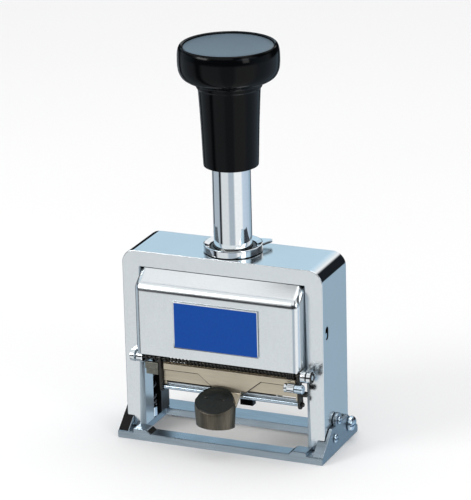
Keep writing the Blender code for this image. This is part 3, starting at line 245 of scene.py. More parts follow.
HUB_Y = -0.0199
HUB_Z = 0.031
HUB_END = 0.0366
CROSS_Y = -0.0162
CROSS_Z = 0.0232
CROSS_RADIUS = 0.0009
CROSS_LEFT = -0.0255
CROSS_RIGHT = 0.0352
CLIP_GROOVE = 0.0003
CLIP_DARK = 0.002
TRAY_LEFT = -0.0237
TRAY_RIGHT = 0.0329
TRAY_HALF = 0.0237
TRAY_FRONT = -0.015
TRAY_STRIP_BACK = -0.0126
TRAY_BACK = 0.0086
TRAY_LOW = 0.0232
TRAY_HIGH = 0.024
TRAY_RIM = 0.0252
TRAY_WALL = 0.0008
LIP_LOW = 0.0221
LIP_HIGH = 0.0249
LIP_THICK = 0.0004
PANEL_FRONT = -0.0167
PANEL_BACK = -0.0159
PANEL_LOW = 0.0261
PANEL_HIGH = 0.0337
BRIDGE_WIDTH = 0.001
PAD_LOW = 0.0243
PAD_HIGH = 0.0257
PAD_SIDE_GAP = 0.0004
FUZZ_SCALE = 0.0012
FUZZ_HEIGHT = 0.00018
HOLDER_LEFT = -0.0233
HOLDER_RIGHT = 0.0323
HOLDER_TOP = 0.0335
HOLDER_BAND = 0.0306
HOLDER_MIDDLE = 0.0046
HOLDER_KNEE = 0.0133
HOLDER_APEX = 0.0072
HOLDER_FOOT = 0.0256
HOLDER_FRONT = -0.0178
HOLDER_BACK = -0.017
# Width of the bevel that carries the holder's painted shadow line
HOLDER_SHADOW_BEVEL = 0.0004
HOLDER_EDGE = 0.00016
TONGUE_LEFT = -0.0018
TONGUE_RIGHT = 0.0094
TONGUE_REACH = 0.0052
TONGUE_THICK = 0.0008
BLOCK_LEFT = -0.031
BLOCK_RIGHT = -0.0253
BLOCK_FRONT = -0.0184
BLOCK_FOOT = 0.0283
NUT_LEFT = 0.0286
NUT_TEETH = 20
NUT_KNURL = 0.93
NUT_KNURL_START = 0.0015
# The nut's flange: radius as a share of the nut's, and reach to the right
NUT_FLANGE = ((0, 0), (0.75, 0), (1, 0.0003), (1, 0.0011), (0.8, 0.0013), (0.8, 0.0018), (0, 0.0018))
CATCH_LEFT = 0.0078
CATCH_RIGHT = 0.0132
CATCH_FRONT = -0.015
CATCH_BACK = -0.012
CATCH_LOW = 0.0193
CATCH_HIGH = 0.0229
CATCH_RIM = 0.0006
CATCH_SUNK = 0.0002
CATCH_EDGE = 0.00035

# Thumb rest
REST_MIDDLE = 0.001
REST_HALF = 0.0076
REST_LENGTH = 0.0126
REST_TILT = math.radians(33)
REST_ROOT_Y = -0.0181
REST_ROOT_Z = 0.0262
REST_THICK = 0.0009
REST_BEND = 0.0005
# Rings of the dish from its rim inwards: width and depth
REST_DISH = (
    (0.0005, 0.0), (0.0007, 0.00012), (0.0011, 0.0003), (0.0013, 0.00022), (0.0012, 0.0001), (0.001, 0.0),
)
APRON_FOOT = 0.0132
APRON_DROPS = (0.0008, 0.0016, 0.0016)
APRON_TAPER = 0.94

# Repeat dial
DIAL_X = -0.017
DIAL_Z = 0.0525
DIAL_RADIUS = 0.0085
DIAL_BACK = 0.0169
DIAL_FRONT = 0.0188
DIAL_FLUTES = 24
DIAL_VALLEY = 0.95
DIAL_RIM = 0.0009
DIAL_SUNK = 0.0002
DIAL_FIGURE_RING = 0.0055
DIAL_FIGURE_SUNK = 0.00025
DIAL_BORE = 0.0016
DIAL_FIGURE = 0.0036
DIAL_FIGURE_THICK = 0.00012
DIAL_NUMBERS = ("0", "1", "2", "3", "4", "6")
DIAL_SCREW_SEAT = 0.0191
DIAL_SCREW_TOP = 0.0198
DIAL_SCREW_HEAD = 0.0026
DIAL_SCREW_SHANK = 0.0013


class MachineSizes(bpy.types.PropertyGroup):
    """Sizes of the machine that are free to change inside its frame."""

    arch_corner: FloatProperty(
        name="Arch corner", description="Radius of the arch's top corners", default=0.0055, unit="LENGTH"
    )
    arch_edge: FloatProperty(
        name="Arch edge", description="Rounding of the arch's edges", default=0.0005, unit="LENGTH"
    )
    leg_edge: FloatProperty(
        name="Leg edge", description="Rounding of the legs' edges by the hoods", default=0.0016, unit="LENGTH"
    )
    hood_fold: FloatProperty(
        name="Hood fold", description="Width of the front hood's folds", default=0.0028, unit="LENGTH"
    )
    base_edge: FloatProperty(
        name="Base edge", description="Rounding of the base's edges", default=0.0003, unit="LENGTH"
    )
    badge_rim: FloatProperty(
        name="Badge rim", description="Width of the bright rim of the badge", default=0.00028, unit="LENGTH"
    )
    coil_wire: FloatProperty(
        name="Coil wire", description="Wire radius of the pivot's coil", default=0.00024, unit="LENGTH"
    )
    coil_curls: IntProperty(name="Coil curls", description="Curls of the pivot's coil", default=34, min=20)
    turning_steps: IntProperty(name="Turning steps", description="Steps of turned pieces", default=96, min=24)


class MachineColours(bpy.types.PropertyGroup):
    """Colours of the machine's finishes."""

    chrome: FloatVectorProperty(
        name="Chrome", description="Polished chrome plate", default=(0.82, 0.855, 0.875), subtype="COLOR"
    )
    steel: FloatVectorProperty(
        name="Steel", description="Plated steel of the base", default=(0.36, 0.43, 0.49), subtype="COLOR"
    )
    dark: FloatVectorProperty(
        name="Dark steel", description="Blackened steel", default=(0.045, 0.043, 0.04), subtype="COLOR"
    )
    nickel: FloatVectorProperty(
        name="Nickel", description="Warm plate of the pad holder", default=(0.62, 0.55, 0.43), subtype="COLOR"
    )
    plastic: FloatVectorProperty(
        name="Knob", description="Moulding of the knob", default=(0.0015, 0.0018, 0.0022), subtype="COLOR"
    )
    cap: FloatVectorProperty(
        name="Cap", description="Blue-grey cap of the knob", default=(0.1, 0.14, 0.175), subtype="COLOR"
    )
    enamel: FloatVectorProperty(
        name="Badge", description="Blue enamel of the badge", default=(0.003, 0.056, 0.3), subtype="COLOR"
    )
    felt: FloatVectorProperty(
        name="Felt", description="Inked felt of the pad", default=(0.008, 0.008, 0.01), subtype="COLOR"
    )
    brass: FloatVectorProperty(
        name="Brass", description="Brass of the wheels", default=(0.62, 0.45, 0.2), subtype="COLOR"
    )


class MachineStage(bpy.types.PropertyGroup):
    """Camera and lamps."""

    azimuth: FloatProperty(
        name="Azimuth", description="Camera's turn to the right", default=math.radians(23.5), subtype="ANGLE"
    )
    elevation: FloatProperty(
        name="Elevation", description="Camera's height angle", default=math.radians(19.05), subtype="ANGLE"
    )
    roll: FloatProperty(name="Roll", description="Camera tilt", default=math.radians(-1.43), subtype="ANGLE")
    distance: FloatProperty(name="Distance", description="Camera's distance", default=1.2677, unit="LENGTH")
    lens: FloatProperty(name="Lens", description="Focal length in millimetres", default=235.2)
    key_power: FloatProperty(name="Key", description="Power of the left lamp", default=4.6, unit="POWER")
    fill_power: FloatProperty(name="Fill", description="Power of the right lamp", default=1.8, unit="POWER")
    top_power: FloatProperty(name="Top", description="Power of the top lamp", default=3.0, unit="POWER")
    sky_level: FloatProperty(name="Sky", description="Level of the plain surroundings", default=0.78)


def sizes():
    return bpy.context.scene.machine_sizes


def colours():
    return bpy.context.scene.machine_colours


# Modelling moves


def release():
    """Leave edit mode and let go of every object."""
    if bpy.context.mode != "OBJECT":
        bpy.ops.object.mode_set(mode="OBJECT")
    bpy.ops.object.select_all(action="DESELECT")


def hold(*pieces):
    """Select pieces alone, the first of them active."""
    release()
    for piece in pieces:
        piece.select_set(True)
    bpy.context.view_layer.objects.active = pieces[0]


def start_edit(piece, kind="VERT"):
    hold(piece)
    bpy.ops.object.mode_set(mode="EDIT")
    bpy.ops.mesh.select_mode(type=kind)


def pick(piece, kind, test):
    """Select the points, edges or faces in edit mode that pass a test."""
    bpy.ops.mesh.select_mode(type=kind)
    bpy.ops.mesh.select_all(action="DESELECT")
    form = bmesh.from_edit_mesh(piece.data)
    parts = {"VERT": form.verts, "EDGE": form.edges, "FACE": form.faces}[kind]
    for part in parts:
        if test(part):
            part.select_set(True)
    form.select_flush_mode()
    bmesh.update_edit_mesh(piece.data)


def close_up():
    """Merge doubles and turn every face outwards, in edit mode."""
    bpy.ops.mesh.select_all(action="SELECT")
    bpy.ops.mesh.remove_doubles(threshold=1e-6)
    bpy.ops.mesh.normals_make_consistent(inside=False)


def fix_place(piece):
    hold(piece)
    bpy.ops.object.transform_apply(location=True, rotation=True, scale=True)


def figure_form(text, size, thick):
    """A raised figure, centred on the origin and facing up."""
    release()
    bpy.ops.object.text_add()
    letter = bpy.context.object
    letter.data.body = text
    letter.data.size = size
    letter.data.resolution_u = 3
    letter.data.extrude = thick
    bpy.ops.object.convert(target="MESH")
    form = bpy.context.object
    form.name = f"figure_{text}"
    start_edit(form)
    close_up()
    release()
    corners = [Vector(corner) for corner in form.bound_box]
    form.location = (corners[0] + corners[6]) / -2
    fix_place(form)
    return form


def modify(piece, kind, **settings):
    """Add a modifier and apply it."""
    hold(piece)
    bpy.ops.object.modifier_add(type=kind)
    made = piece.modifiers[-1]
    for name, value in settings.items():
        setattr(made, name, value)
    bpy.ops.object.modifier_apply(modifier=made.name)
    return piece


def named(name):
    piece = bpy.context.object
    piece.name = name
    piece.data.name = name
    fix_place(piece)
    return piece


def block(name, low, high):
    """A block between two corners."""
    release()
    low, high = Vector(low), Vector(high)
    bpy.ops.mesh.primitive_cube_add(size=1, location=(low + high) / 2, scale=high - low)
    return named(name)


AXIS_TURNS = {"X": (0, math.pi / 2, 0), "Y": (math.pi / 2, 0, 0), "Z": (0, 0, 0)}


def along(axis, across, up, reach):
    """A point from its reach along an axis and its two places across it."""
    return {"X": (reach, across, up), "Y": (across, reach, up), "Z": (across, up, reach)}[axis]


def bar(name, radius, axis, across, up, start, end, steps=48):
    """A round bar along an axis."""
    release()
    bpy.ops.mesh.primitive_cylinder_add(
        vertices=steps,
        radius=radius,
        depth=abs(end - start),
        location=along(axis, across, up, (start + end) / 2),
        rotation=AXIS_TURNS[axis],
    )
    return named(name)


def trace(name, points):
    """Draw a line through points by drawing out one vertex."""
    release()
    bpy.ops.mesh.primitive_plane_add(size=OVERRUN)
    piece = named(name)
    start_edit(piece)
    bpy.ops.mesh.select_all(action="SELECT")
    bpy.ops.mesh.merge(type="CENTER")
    here = Vector((0, 0, 0))
    there = Vector(points[0])
    bpy.ops.transform.translate(value=there - here)
    for point in points[1:]:
        here, there = there, Vector(point)
        bpy.ops.mesh.extrude_vertices_move(TRANSFORM_OT_translate={"value": there - here})
    return piece


def plate(name, outline, axis, start, end):
    """A flat plate with an outline across an axis, drawn out from start to end."""
    points = [along(axis, *point, start) for point in outline]
    piece = trace(name, points + points[:1])
    bpy.ops.mesh.select_all(action="SELECT")
    bpy.ops.mesh.remove_doubles(threshold=1e-7)
    bpy.ops.mesh.edge_face_add()
    bpy.ops.mesh.extrude_region_move(TRANSFORM_OT_translate={"value": along(axis, 0, 0, end - start)})
    close_up()
    release()
    return piece


def turned(name, profile, axis, across=0.0, up=0.0, steps=None, bored=False):
    """Turn a profile of radius and reach round an axis, as on a lathe."""
    points = [along(axis, across + radius, up, reach) for radius, reach in profile]
    if bored:
        points.append(points[0])
    piece = trace(name, points)
    bpy.ops.mesh.select_all(action="SELECT")
    bpy.ops.mesh.spin(
        steps=steps or sizes().turning_steps,
        angle=math.tau,
        center=along(axis, across, up, 0),
        axis=along(axis, 0, 0, 1),
        use_auto_merge=True,
    )
    close_up()
    release()
    return piece


def wound(name, points, wire, resolution=3):
    """A round wire along points."""
    piece = trace(name, points)
    release()
    hold(piece)
    bpy.ops.object.convert(target="CURVE")
    curve = bpy.context.object
    curve.data.dimensions = "3D"
    curve.data.bevel_depth = wire
    curve.data.bevel_resolution = resolution
    curve.data.use_fill_caps = True
    bpy.ops.object.convert(target="MESH")
    piece = bpy.context.object
    start_edit(piece)
    close_up()
    release()
    hold(piece)
    bpy.ops.object.shade_smooth()
    return piece


def arc(across, up, radius, first, last, steps):
    turns = [first + (last - first) * k / steps for k in range(steps + 1)]
    return [(across + radius * math.cos(t), up + radius * math.sin(t)) for t in turns]


def fluted(across, up, radius, valley, teeth):
    """A toothed round outline, with its valleys at a share of the radius."""
    outline = []
    for k in range(2 * teeth):
        turn = math.pi * k / teeth
        reach = radius if k % 2 == 0 else radius * valley
        outline.append((across + reach * math.cos(turn), up + reach * math.sin(turn)))
    return outline


def span(side, *reaches):
    """Reaches along X on one side of the machine, the lower one first."""
    return sorted(side * reach for reach in reaches)


def link(one, one_radius, two, two_radius, steps=16):
    """The outline round two eyes and the straight sides between them."""
    one, two = Vector(one), Vector(two)
    heading = math.atan2(two.y - one.y, two.x - one.x)
    spread = math.acos((one_radius - two_radius) / (two - one).length)
    outline = arc(*one, one_radius, heading + spread, heading + math.tau - spread, steps)
    return outline + arc(*two, two_radius, heading - spread, heading + spread, steps)


def cut(piece, *cutters):
    """Take cutters out of a piece."""
    for cutter in cutters:
        modify(piece, "BOOLEAN", operation="DIFFERENCE", solver="EXACT", object=cutter)
        bpy.data.objects.remove(cutter, do_unlink=True)
    return piece


def unite(piece, *others):
    for other in others:
        modify(piece, "BOOLEAN", operation="UNION", solver="EXACT", object=other)
        bpy.data.objects.remove(other, do_unlink=True)
    return piece


def gather(piece, *others):
    """Join pieces into one object."""
    hold(piece, *others)
    bpy.ops.object.join()
    return piece


def round_edges(piece, width, segments=2, angle=38):
    """Round a piece's corners."""
    return modify(
        piece,
        "BEVEL",
        width=width,
        segments=segments,
        limit_method="ANGLE",
        angle_limit=math.radians(angle),
        use_clamp_overlap=True,
    )


def bevel_picked(piece, test, width, segments):
    """Round the edges that pass a test, and stay in edit mode."""
    start_edit(piece, "EDGE")
    pick(piece, "EDGE", test)
    bpy.ops.mesh.bevel(offset=width, segments=segments, affect="EDGES")


def smooth(piece, angle=34, even=True):
    """Smooth shading with flat faces kept flat."""
    hold(piece)
    bpy.ops.object.shade_smooth_by_angle(angle=math.radians(angle))
    if even:
        modify(piece, "WEIGHTED_NORMAL", keep_sharp=True, weight=60)
    return piece


def paint(piece, *finishes):
    piece.data.materials.clear()
    for name in finishes:
        piece.data.materials.append(finish(name))


def paint_faces(piece, slot, test):
    """Give the faces that pass a test another of the piece's finishes."""
    for face in piece.data.polygons:
        if test(face):
            face.material_index = slot


def settle(piece, body, slot, *nodes):
    """Move a finished piece from home to its place, and let it ride on its body."""
    hold(piece)
    piece.location = HOME
    fix_place(piece)
    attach(piece, body)
    if nodes:
        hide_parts(*nodes)
    release()
    return piece


def dress(piece, look, body, slot, *nodes, angle=34, even=True):
    """Shade and paint a finished piece with one look, then settle it."""
    smooth(piece, angle, even)
    paint(piece, look)
    return settle(piece, body, slot, *nodes)


# Finishes


def put(tree, kind, sockets=None, **settings):
    """Add a node with its settings and socket values."""
    made = tree.nodes.new(kind)
    for name, value in settings.items():
        setattr(made, name, value)
    for name, value in (sockets or {}).items():
        made.inputs[name].default_value = value
    return made


def set_ramp(node, stops):
    """Give a colour ramp its stops."""
    ramp = node.color_ramp
    while len(ramp.elements) > 1:
        ramp.elements.remove(ramp.elements[-1])
    ramp.elements[0].position = stops[0][0]
    ramp.elements[0].color = (*stops[0][1], 1)
    for place, colour in stops[1:]:
        ramp.elements.new(place).color = (*colour, 1)


def shade(colour, share):
    return tuple(min(1.0, channel * share) for channel in colour)


EVEN = (1, 1, 1)
ALONG_X = (0.06, 1, 1)
ALONG_Z = (1, 1, 0.06)


def surface(
    name, colour, roughness, spread, grain, contrast, relief, metallic=1, stretch=EVEN, smudge=70.0, sheen=0.5
):
    """A finish with a fine grain, broad smudges that change the gloss, and a shallow relief."""
    made = bpy.data.materials.new(name)
    made.use_nodes = True
    tree = made.node_tree
    shader = tree.nodes["Principled BSDF"]
    shader.inputs["Metallic"].default_value = metallic
    shader.inputs["Specular IOR Level"].default_value = sheen
    coordinates = put(tree, "ShaderNodeTexCoord")
    mapping = put(tree, "ShaderNodeMapping", {"Scale": stretch})
    fine = put(tree, "ShaderNodeTexNoise", {"Scale": grain, "Detail": 5.0, "Roughness": 0.65})
    tones = put(tree, "ShaderNodeValToRGB")
    set_ramp(tones, ((0.25, shade(colour, 1 - contrast)), (0.5, colour), (0.75, shade(colour, 1 + contrast))))
    broad = put(tree, "ShaderNodeTexNoise", {"Scale": smudge, "Detail": 3.0, "Roughness": 0.5})
    gloss = put(
        tree,
        "ShaderNodeMapRange",
        {"From Min": 0.3, "From Max": 0.7, "To Min": roughness - spread, "To Max": roughness + spread},
    )
    bump = put(tree, "ShaderNodeBump", {"Strength": 0.6, "Distance": relief})
    wire = tree.links.new
    wire(coordinates.outputs["Object"], mapping.inputs["Vector"])
    wire(mapping.outputs["Vector"], fine.inputs["Vector"])
    wire(coordinates.outputs["Object"], broad.inputs["Vector"])
    wire(fine.outputs["Fac"], tones.inputs["Fac"])
    wire(tones.outputs["Color"], shader.inputs["Base Color"])
    wire(broad.outputs["Fac"], gloss.inputs["Value"])
    wire(gloss.outputs["Result"], shader.inputs["Roughness"])
    wire(fine.outputs["Fac"], bump.inputs["Height"])
    wire(bump.outputs["Normal"], shader.inputs["Normal"])
    return made


# Each finish: its base, one of the machine's colours or a colour of its own, and how it takes the light
FINISHES = {
    "polished chrome": dict(
        base="chrome", roughness=0.06, spread=0.02, grain=900, contrast=0.03, relief=4e-7,
    ),
    "satin chrome": dict(
        base="chrome", roughness=0.2, spread=0.03, grain=2400, contrast=0.07, relief=3e-6, smudge=45,
    ),
    # A duller blue-grey copy of chrome, painted on the legs' rounded edges as painted shade and reflection
    "shaded chrome": dict(
        base=(0.4, 0.48, 0.54), metallic=0.35, roughness=0.5, spread=0.05, grain=1500, stretch=ALONG_Z,
        contrast=0.1, relief=4e-6, smudge=90,
    ),
    # Chrome darkened to near-black: painted shade on the legs' inner walls and under the roof
    "sooted chrome": dict(
        base="chrome", share=0.16, roughness=0.42, spread=0.08, grain=1500, stretch=ALONG_Z,
        contrast=0.35, relief=1e-5, smudge=160,
    ),
    "dull steel": dict(
        base=(0.2, 0.2, 0.17), metallic=0.9, roughness=0.4, spread=0.06, grain=1100, contrast=0.35,
        relief=2e-5, smudge=300,
    ),
    # Dark brown for the painted shadow line under the pad holder's band
    "seam brown": dict(
        base=(0.05, 0.04, 0.028), metallic=0.5, roughness=0.5, spread=0.06, grain=1500, stretch=ALONG_X,
        contrast=0.3, relief=1e-5, smudge=200,
    ),
    "dull chrome": dict(
        base="chrome", share=0.7, roughness=0.32, spread=0.06, grain=1500, stretch=ALONG_Z, contrast=0.1,
        relief=6e-6, smudge=90,
    ),
    "plated steel": dict(
        base="steel", roughness=0.3, spread=0.05, grain=1400, stretch=ALONG_X, contrast=0.16,
        relief=1e-5, smudge=80,
    ),
    "bright steel": dict(
        base="steel", share=1.7, roughness=0.18, spread=0.05, grain=1600, contrast=0.1, relief=4e-6,
        smudge=120,
    ),
    # Near-black and matt: painted shade in the leg grooves and keyholes, and a painted dark reflection on the
    # base's sloped faces
    "dark groove": dict(
        base="dark", share=0.15, metallic=0, roughness=0.5, spread=0.08, grain=900, stretch=ALONG_Z,
        contrast=0.2, relief=1e-5, smudge=90, sheen=0.15,
    ),
    "blackened steel": dict(
        base="dark", metallic=0.75, roughness=0.3, spread=0.07, grain=1300, contrast=0.3, relief=1e-5,
        smudge=160,
    ),
    "worn black steel": dict(
        base="dark", share=2.2, metallic=0.8, roughness=0.34, spread=0.08, grain=900, contrast=0.45,
        relief=3e-5, smudge=260,
    ),
    # Near-black for the thumb rest's top: a painted dark reflection
    "thumb black": dict(
        base=(0.006, 0.0085, 0.0075), metallic=0, roughness=0.4, spread=0.1, grain=900, contrast=0.6,
        relief=5e-5, smudge=260, sheen=0.25,
    ),
    # Streaky brown for the thumb rest's apron: a painted reflection
    "brown steel": dict(
        base=(0.13, 0.115, 0.09), metallic=0.85, roughness=0.36, spread=0.08, grain=700,
        stretch=(1, 1, 0.05), contrast=0.5, relief=2e-5, smudge=200,
    ),
    "warm nickel": dict(
        base="nickel", metallic=0.9, roughness=0.34, spread=0.05, grain=1500, stretch=ALONG_X,
        contrast=0.1, relief=8e-6, smudge=90,
    ),
    "black moulding": dict(
        base="plastic", metallic=0, roughness=0.14, spread=0.03, grain=1600, contrast=0.1, relief=1e-6,
        smudge=60, sheen=0.13,
    ),
    "grey cap": dict(
        base="cap", metallic=0, roughness=0.3, spread=0.04, grain=1500, contrast=0.08, relief=2e-6,
        smudge=60, sheen=0.4,
    ),
    "blue enamel": dict(
        base="enamel", metallic=0, roughness=0.3, spread=0.04, grain=1800, contrast=0.12, relief=2e-6,
        smudge=60, sheen=0.15,
    ),
    "inked felt": dict(
        base="felt", metallic=0, roughness=0.95, spread=0.04, grain=2600, contrast=0.6, relief=1.2e-4,
        smudge=400,
    ),
    "turned brass": dict(
        base="brass", roughness=0.28, spread=0.06, grain=2200, stretch=(1, 0.08, 0.08), contrast=0.12,
        relief=8e-6, smudge=120,
    ),
    "spring wire": dict(
        base=(0.2, 0.21, 0.22), roughness=0.28, spread=0.06, grain=2200, contrast=0.2, relief=6e-6,
        smudge=160,
    ),
    "figure fill": dict(
        base=(0.01, 0.01, 0.012), metallic=0, roughness=0.5, spread=0.05, grain=1800, contrast=0.2,
        relief=4e-6, smudge=200,
    ),
}


def finish(name):
    """A finish by its name, mixed the first time it is asked for."""
    if name in bpy.data.materials:
        return bpy.data.materials[name]
    recipe = dict(FINISHES[name])
    base, share = recipe.pop("base"), recipe.pop("share", 1)
    if isinstance(base, str):
        base = getattr(colours(), base)
    return surface(name, shade(base, share), **recipe)


# Pieces


def build_arch():
    half, corner = ARCH_HALF, sizes().arch_corner
    outline = [(-half, LEG_FOOT)]
    outline += arc(corner - half, ARCH_TOP - corner, corner, math.pi, math.pi / 2, 12)
    outline += arc(half - corner, ARCH_TOP - corner, corner, math.pi / 2, 0, 12)
    outline += [(half, LEG_FOOT), (LEG_INNER, LEG_FOOT), (LEG_INNER, ARCH_UNDERSIDE)]
    outline += [(-LEG_INNER, ARCH_UNDERSIDE), (-LEG_INNER, LEG_FOOT)]
    arch = plate("arch", outline, "Y", -ARCH_FRONT, ARCH_FRONT)

    def beside_hood(edge):
        ends = [v.co for v in edge.verts]
        upright = abs(ends[0].z - ends[1].z) > OVERRUN
        at_side = all(abs(abs(p.x) - LEG_INNER) < TOUCH for p in ends)
        return upright and at_side and all(abs(abs(p.y) - ARCH_FRONT) < TOUCH for p in ends)

    bevel_picked(arch, beside_hood, sizes().leg_edge, 5)
    release()
    round_edges(arch, sizes().arch_edge, 3)
    cut(arch, bar("stem_hole", STEM_HOLE, "Z", 0, 0, ARCH_UNDERSIDE - OVERRUN, ARCH_TOP + OVERRUN, 64))
    for _, side in SIDES:
        ends = span(side, LEG_INNER - OVERRUN, GROOVE_OUTER)
        low = (ends[0], -GROOVE_HALF, LEG_FOOT - OVERRUN)
        cut(arch, block("groove", low, (ends[1], GROOVE_HALF, ARCH_UNDERSIDE - SEAT_GAP)))
        lug = [(EYE_LUG_ROOT - ARCH_FRONT, PIVOT_Z + EYE_LUG)]
        lug += arc(PIVOT_Y, PIVOT_Z, EYE_LUG, math.pi / 2, math.pi * 1.5, 16)
        lug += [(EYE_LUG_ROOT - ARCH_FRONT, PIVOT_Z - EYE_LUG)]
        ends = span(side, EYE_LUG_INNER, EYE_LUG_OUTER)
        unite(arch, round_edges(plate("lug", lug, "X", *ends), SMALL_EDGE))
        low_eye = (-KEYHOLE_Y, KEYHOLE_Z)
        high_eye = (-KEYHOLE_Y, KEYHOLE_Z + KEYHOLE_RISE)
        ends = span(side, half - KEYHOLE_DEPTH, half + OVERRUN)
        cut(arch, plate("keyhole", link(low_eye, KEYHOLE_ROUND, high_eye, KEYHOLE_ROUND), "X", *ends))
    cut(arch, bar("rod_hole", ROD_RADIUS + SEAT_GAP, "X", PIVOT_Y, PIVOT_Z, -half, half, 24))
    smooth(arch)
    paint(arch, "satin chrome", "dark groove", "sooted chrome", "shaded chrome", "polished chrome")

    def on_corner(face):
        place = face.center
        turned_off = abs(face.normal.x) > 0.05 and face.normal.z > 0.05 and abs(face.normal.y) < 0.5
        return turned_off and abs(place.x) > half - corner and place.z > ARCH_TOP - corner

    def on_leg_edge(face):
        place = face.center
        near = LEG_INNER < abs(place.x) < LEG_INNER + sizes().leg_edge
        return near and abs(face.normal.x) > 0.05 and 0.05 < abs(face.normal.y) < 0.998

    def in_groove(face):
        place = face.center
        deep = LEG_INNER + SEAT_GAP / 2 < abs(place.x) < GROOVE_OUTER + SEAT_GAP
        return deep and abs(place.y) < GROOVE_HALF + SEAT_GAP and place.z < ARCH_UNDERSIDE

    def in_keyhole(face):
        place = face.center
        deep = half - KEYHOLE_DEPTH - SEAT_GAP < abs(place.x) < half - SEAT_GAP
        return deep and abs(place.z - KEYHOLE_Z) < KEYHOLE_REACH

    def behind_groove(face):
        place = face.center
        inner = abs(abs(place.x) - LEG_INNER) < SEAT_GAP / 2 and place.y > GROOVE_HALF / 2
        under = ROOF_START < place.z < ARCH_UNDERSIDE + SEAT_GAP and face.normal.z < -0.9
        return inner or under

    paint_faces(arch, 4, on_corner)
    # The legs' rounded edges beside the hoods get the blue-grey copy of chrome as painted shade and
    # reflection
    paint_faces(arch, 3, on_leg_edge)
    # The legs' inner walls behind the grooves and the faces under the roof are painted near-black chrome as
    # painted shade
    paint_faces(arch, 2, behind_groove)
    # The leg grooves and the keyholes are painted near-black as painted shade
    paint_faces(arch, 1, lambda face: in_groove(face) or in_keyhole(face))
    settle(arch, "stand", "chrome", "casing")


def build_hood(name, node, front, face, drop, bottom, fold):
    """A hood folded from sheet, open at its back and foot."""
    top = HOOD_TOP
    back = front * HOOD_BACK
    outline = [
        (back, bottom),
        (front * face, bottom),
        (front * face, top - drop),
        (front * ARCH_FRONT, top),
        (back, top),
    ]
    hood = plate(name, outline, "X", -HOOD_HALF, HOOD_HALF)

    def folded(edge):
        ends = [v.co for v in edge.verts]
        at_foot = all(abs(p.z - bottom) < TOUCH for p in ends)
        at_back = all(abs(p.y - back) < TOUCH for p in ends)
        at_arch = all(abs(p.y - front * ARCH_FRONT) < TOUCH for p in ends)
        return not (at_foot or at_back or at_arch)

    bevel_picked(hood, folded, fold, 9)

    def open_side(face):
        middle = face.calc_center_median()
        return middle.z < bottom + TOUCH or abs(middle.y - back) < TOUCH

    pick(hood, "FACE", open_side)
    bpy.ops.mesh.delete(type="FACE")
    close_up()
    modify(hood, "SOLIDIFY", thickness=HOOD_WALL, offset=-1, use_even_offset=True)
    cut(hood, bar("notch", NOTCH_RADIUS, "Z", 0, 0, top - NOTCH_DEPTH, top + OVERRUN, 64))
    reach = HOOD_HALF + OVERRUN
    cut(hood, bar("pin", PIN_HOLE, "X", front * KEYHOLE_Y, KEYHOLE_Z, -reach, reach, 24))
    if node == "rear_cover":
        inside = REAR_FACE - 2 * HOOD_WALL
        cut(hood, bar("pivot", DIAL_BORE, "Y", DIAL_X, DIAL_Z, inside, REAR_FACE + OVERRUN, 32))
    round_edges(hood, HOOD_EDGE, 2, 60)
    dress(hood, "satin chrome", "stand", "chrome", node)


def build_badge():
    low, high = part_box("label_plate")
    low, high = low - HOME, high - HOME
    badge = block("badge", low, high)
    round_edges(badge, FINE_EDGE, 2)
    start_edit(badge, "FACE")
    pick(badge, "FACE", lambda f: f.normal.y < -0.99)
    bpy.ops.mesh.inset(thickness=sizes().badge_rim, depth=-BADGE_SUNK)
    bpy.ops.mesh.inset(thickness=BADGE_STEP, depth=0.0)
    release()
    smooth(badge)
    paint(badge, "blue enamel", "polished chrome")
    rim = sizes().badge_rim + BADGE_SUNK

    def on_rim(face):
        inside_x = low.x + rim < face.center.x < high.x - rim
        inside_z = low.z + rim < face.center.z < high.z - rim
        return not (inside_x and inside_z and face.center.y < low.y + SEAT_GAP)

    paint_faces(badge, 1, on_rim)
    settle(badge, "stand", "label_blue", "label_plate")


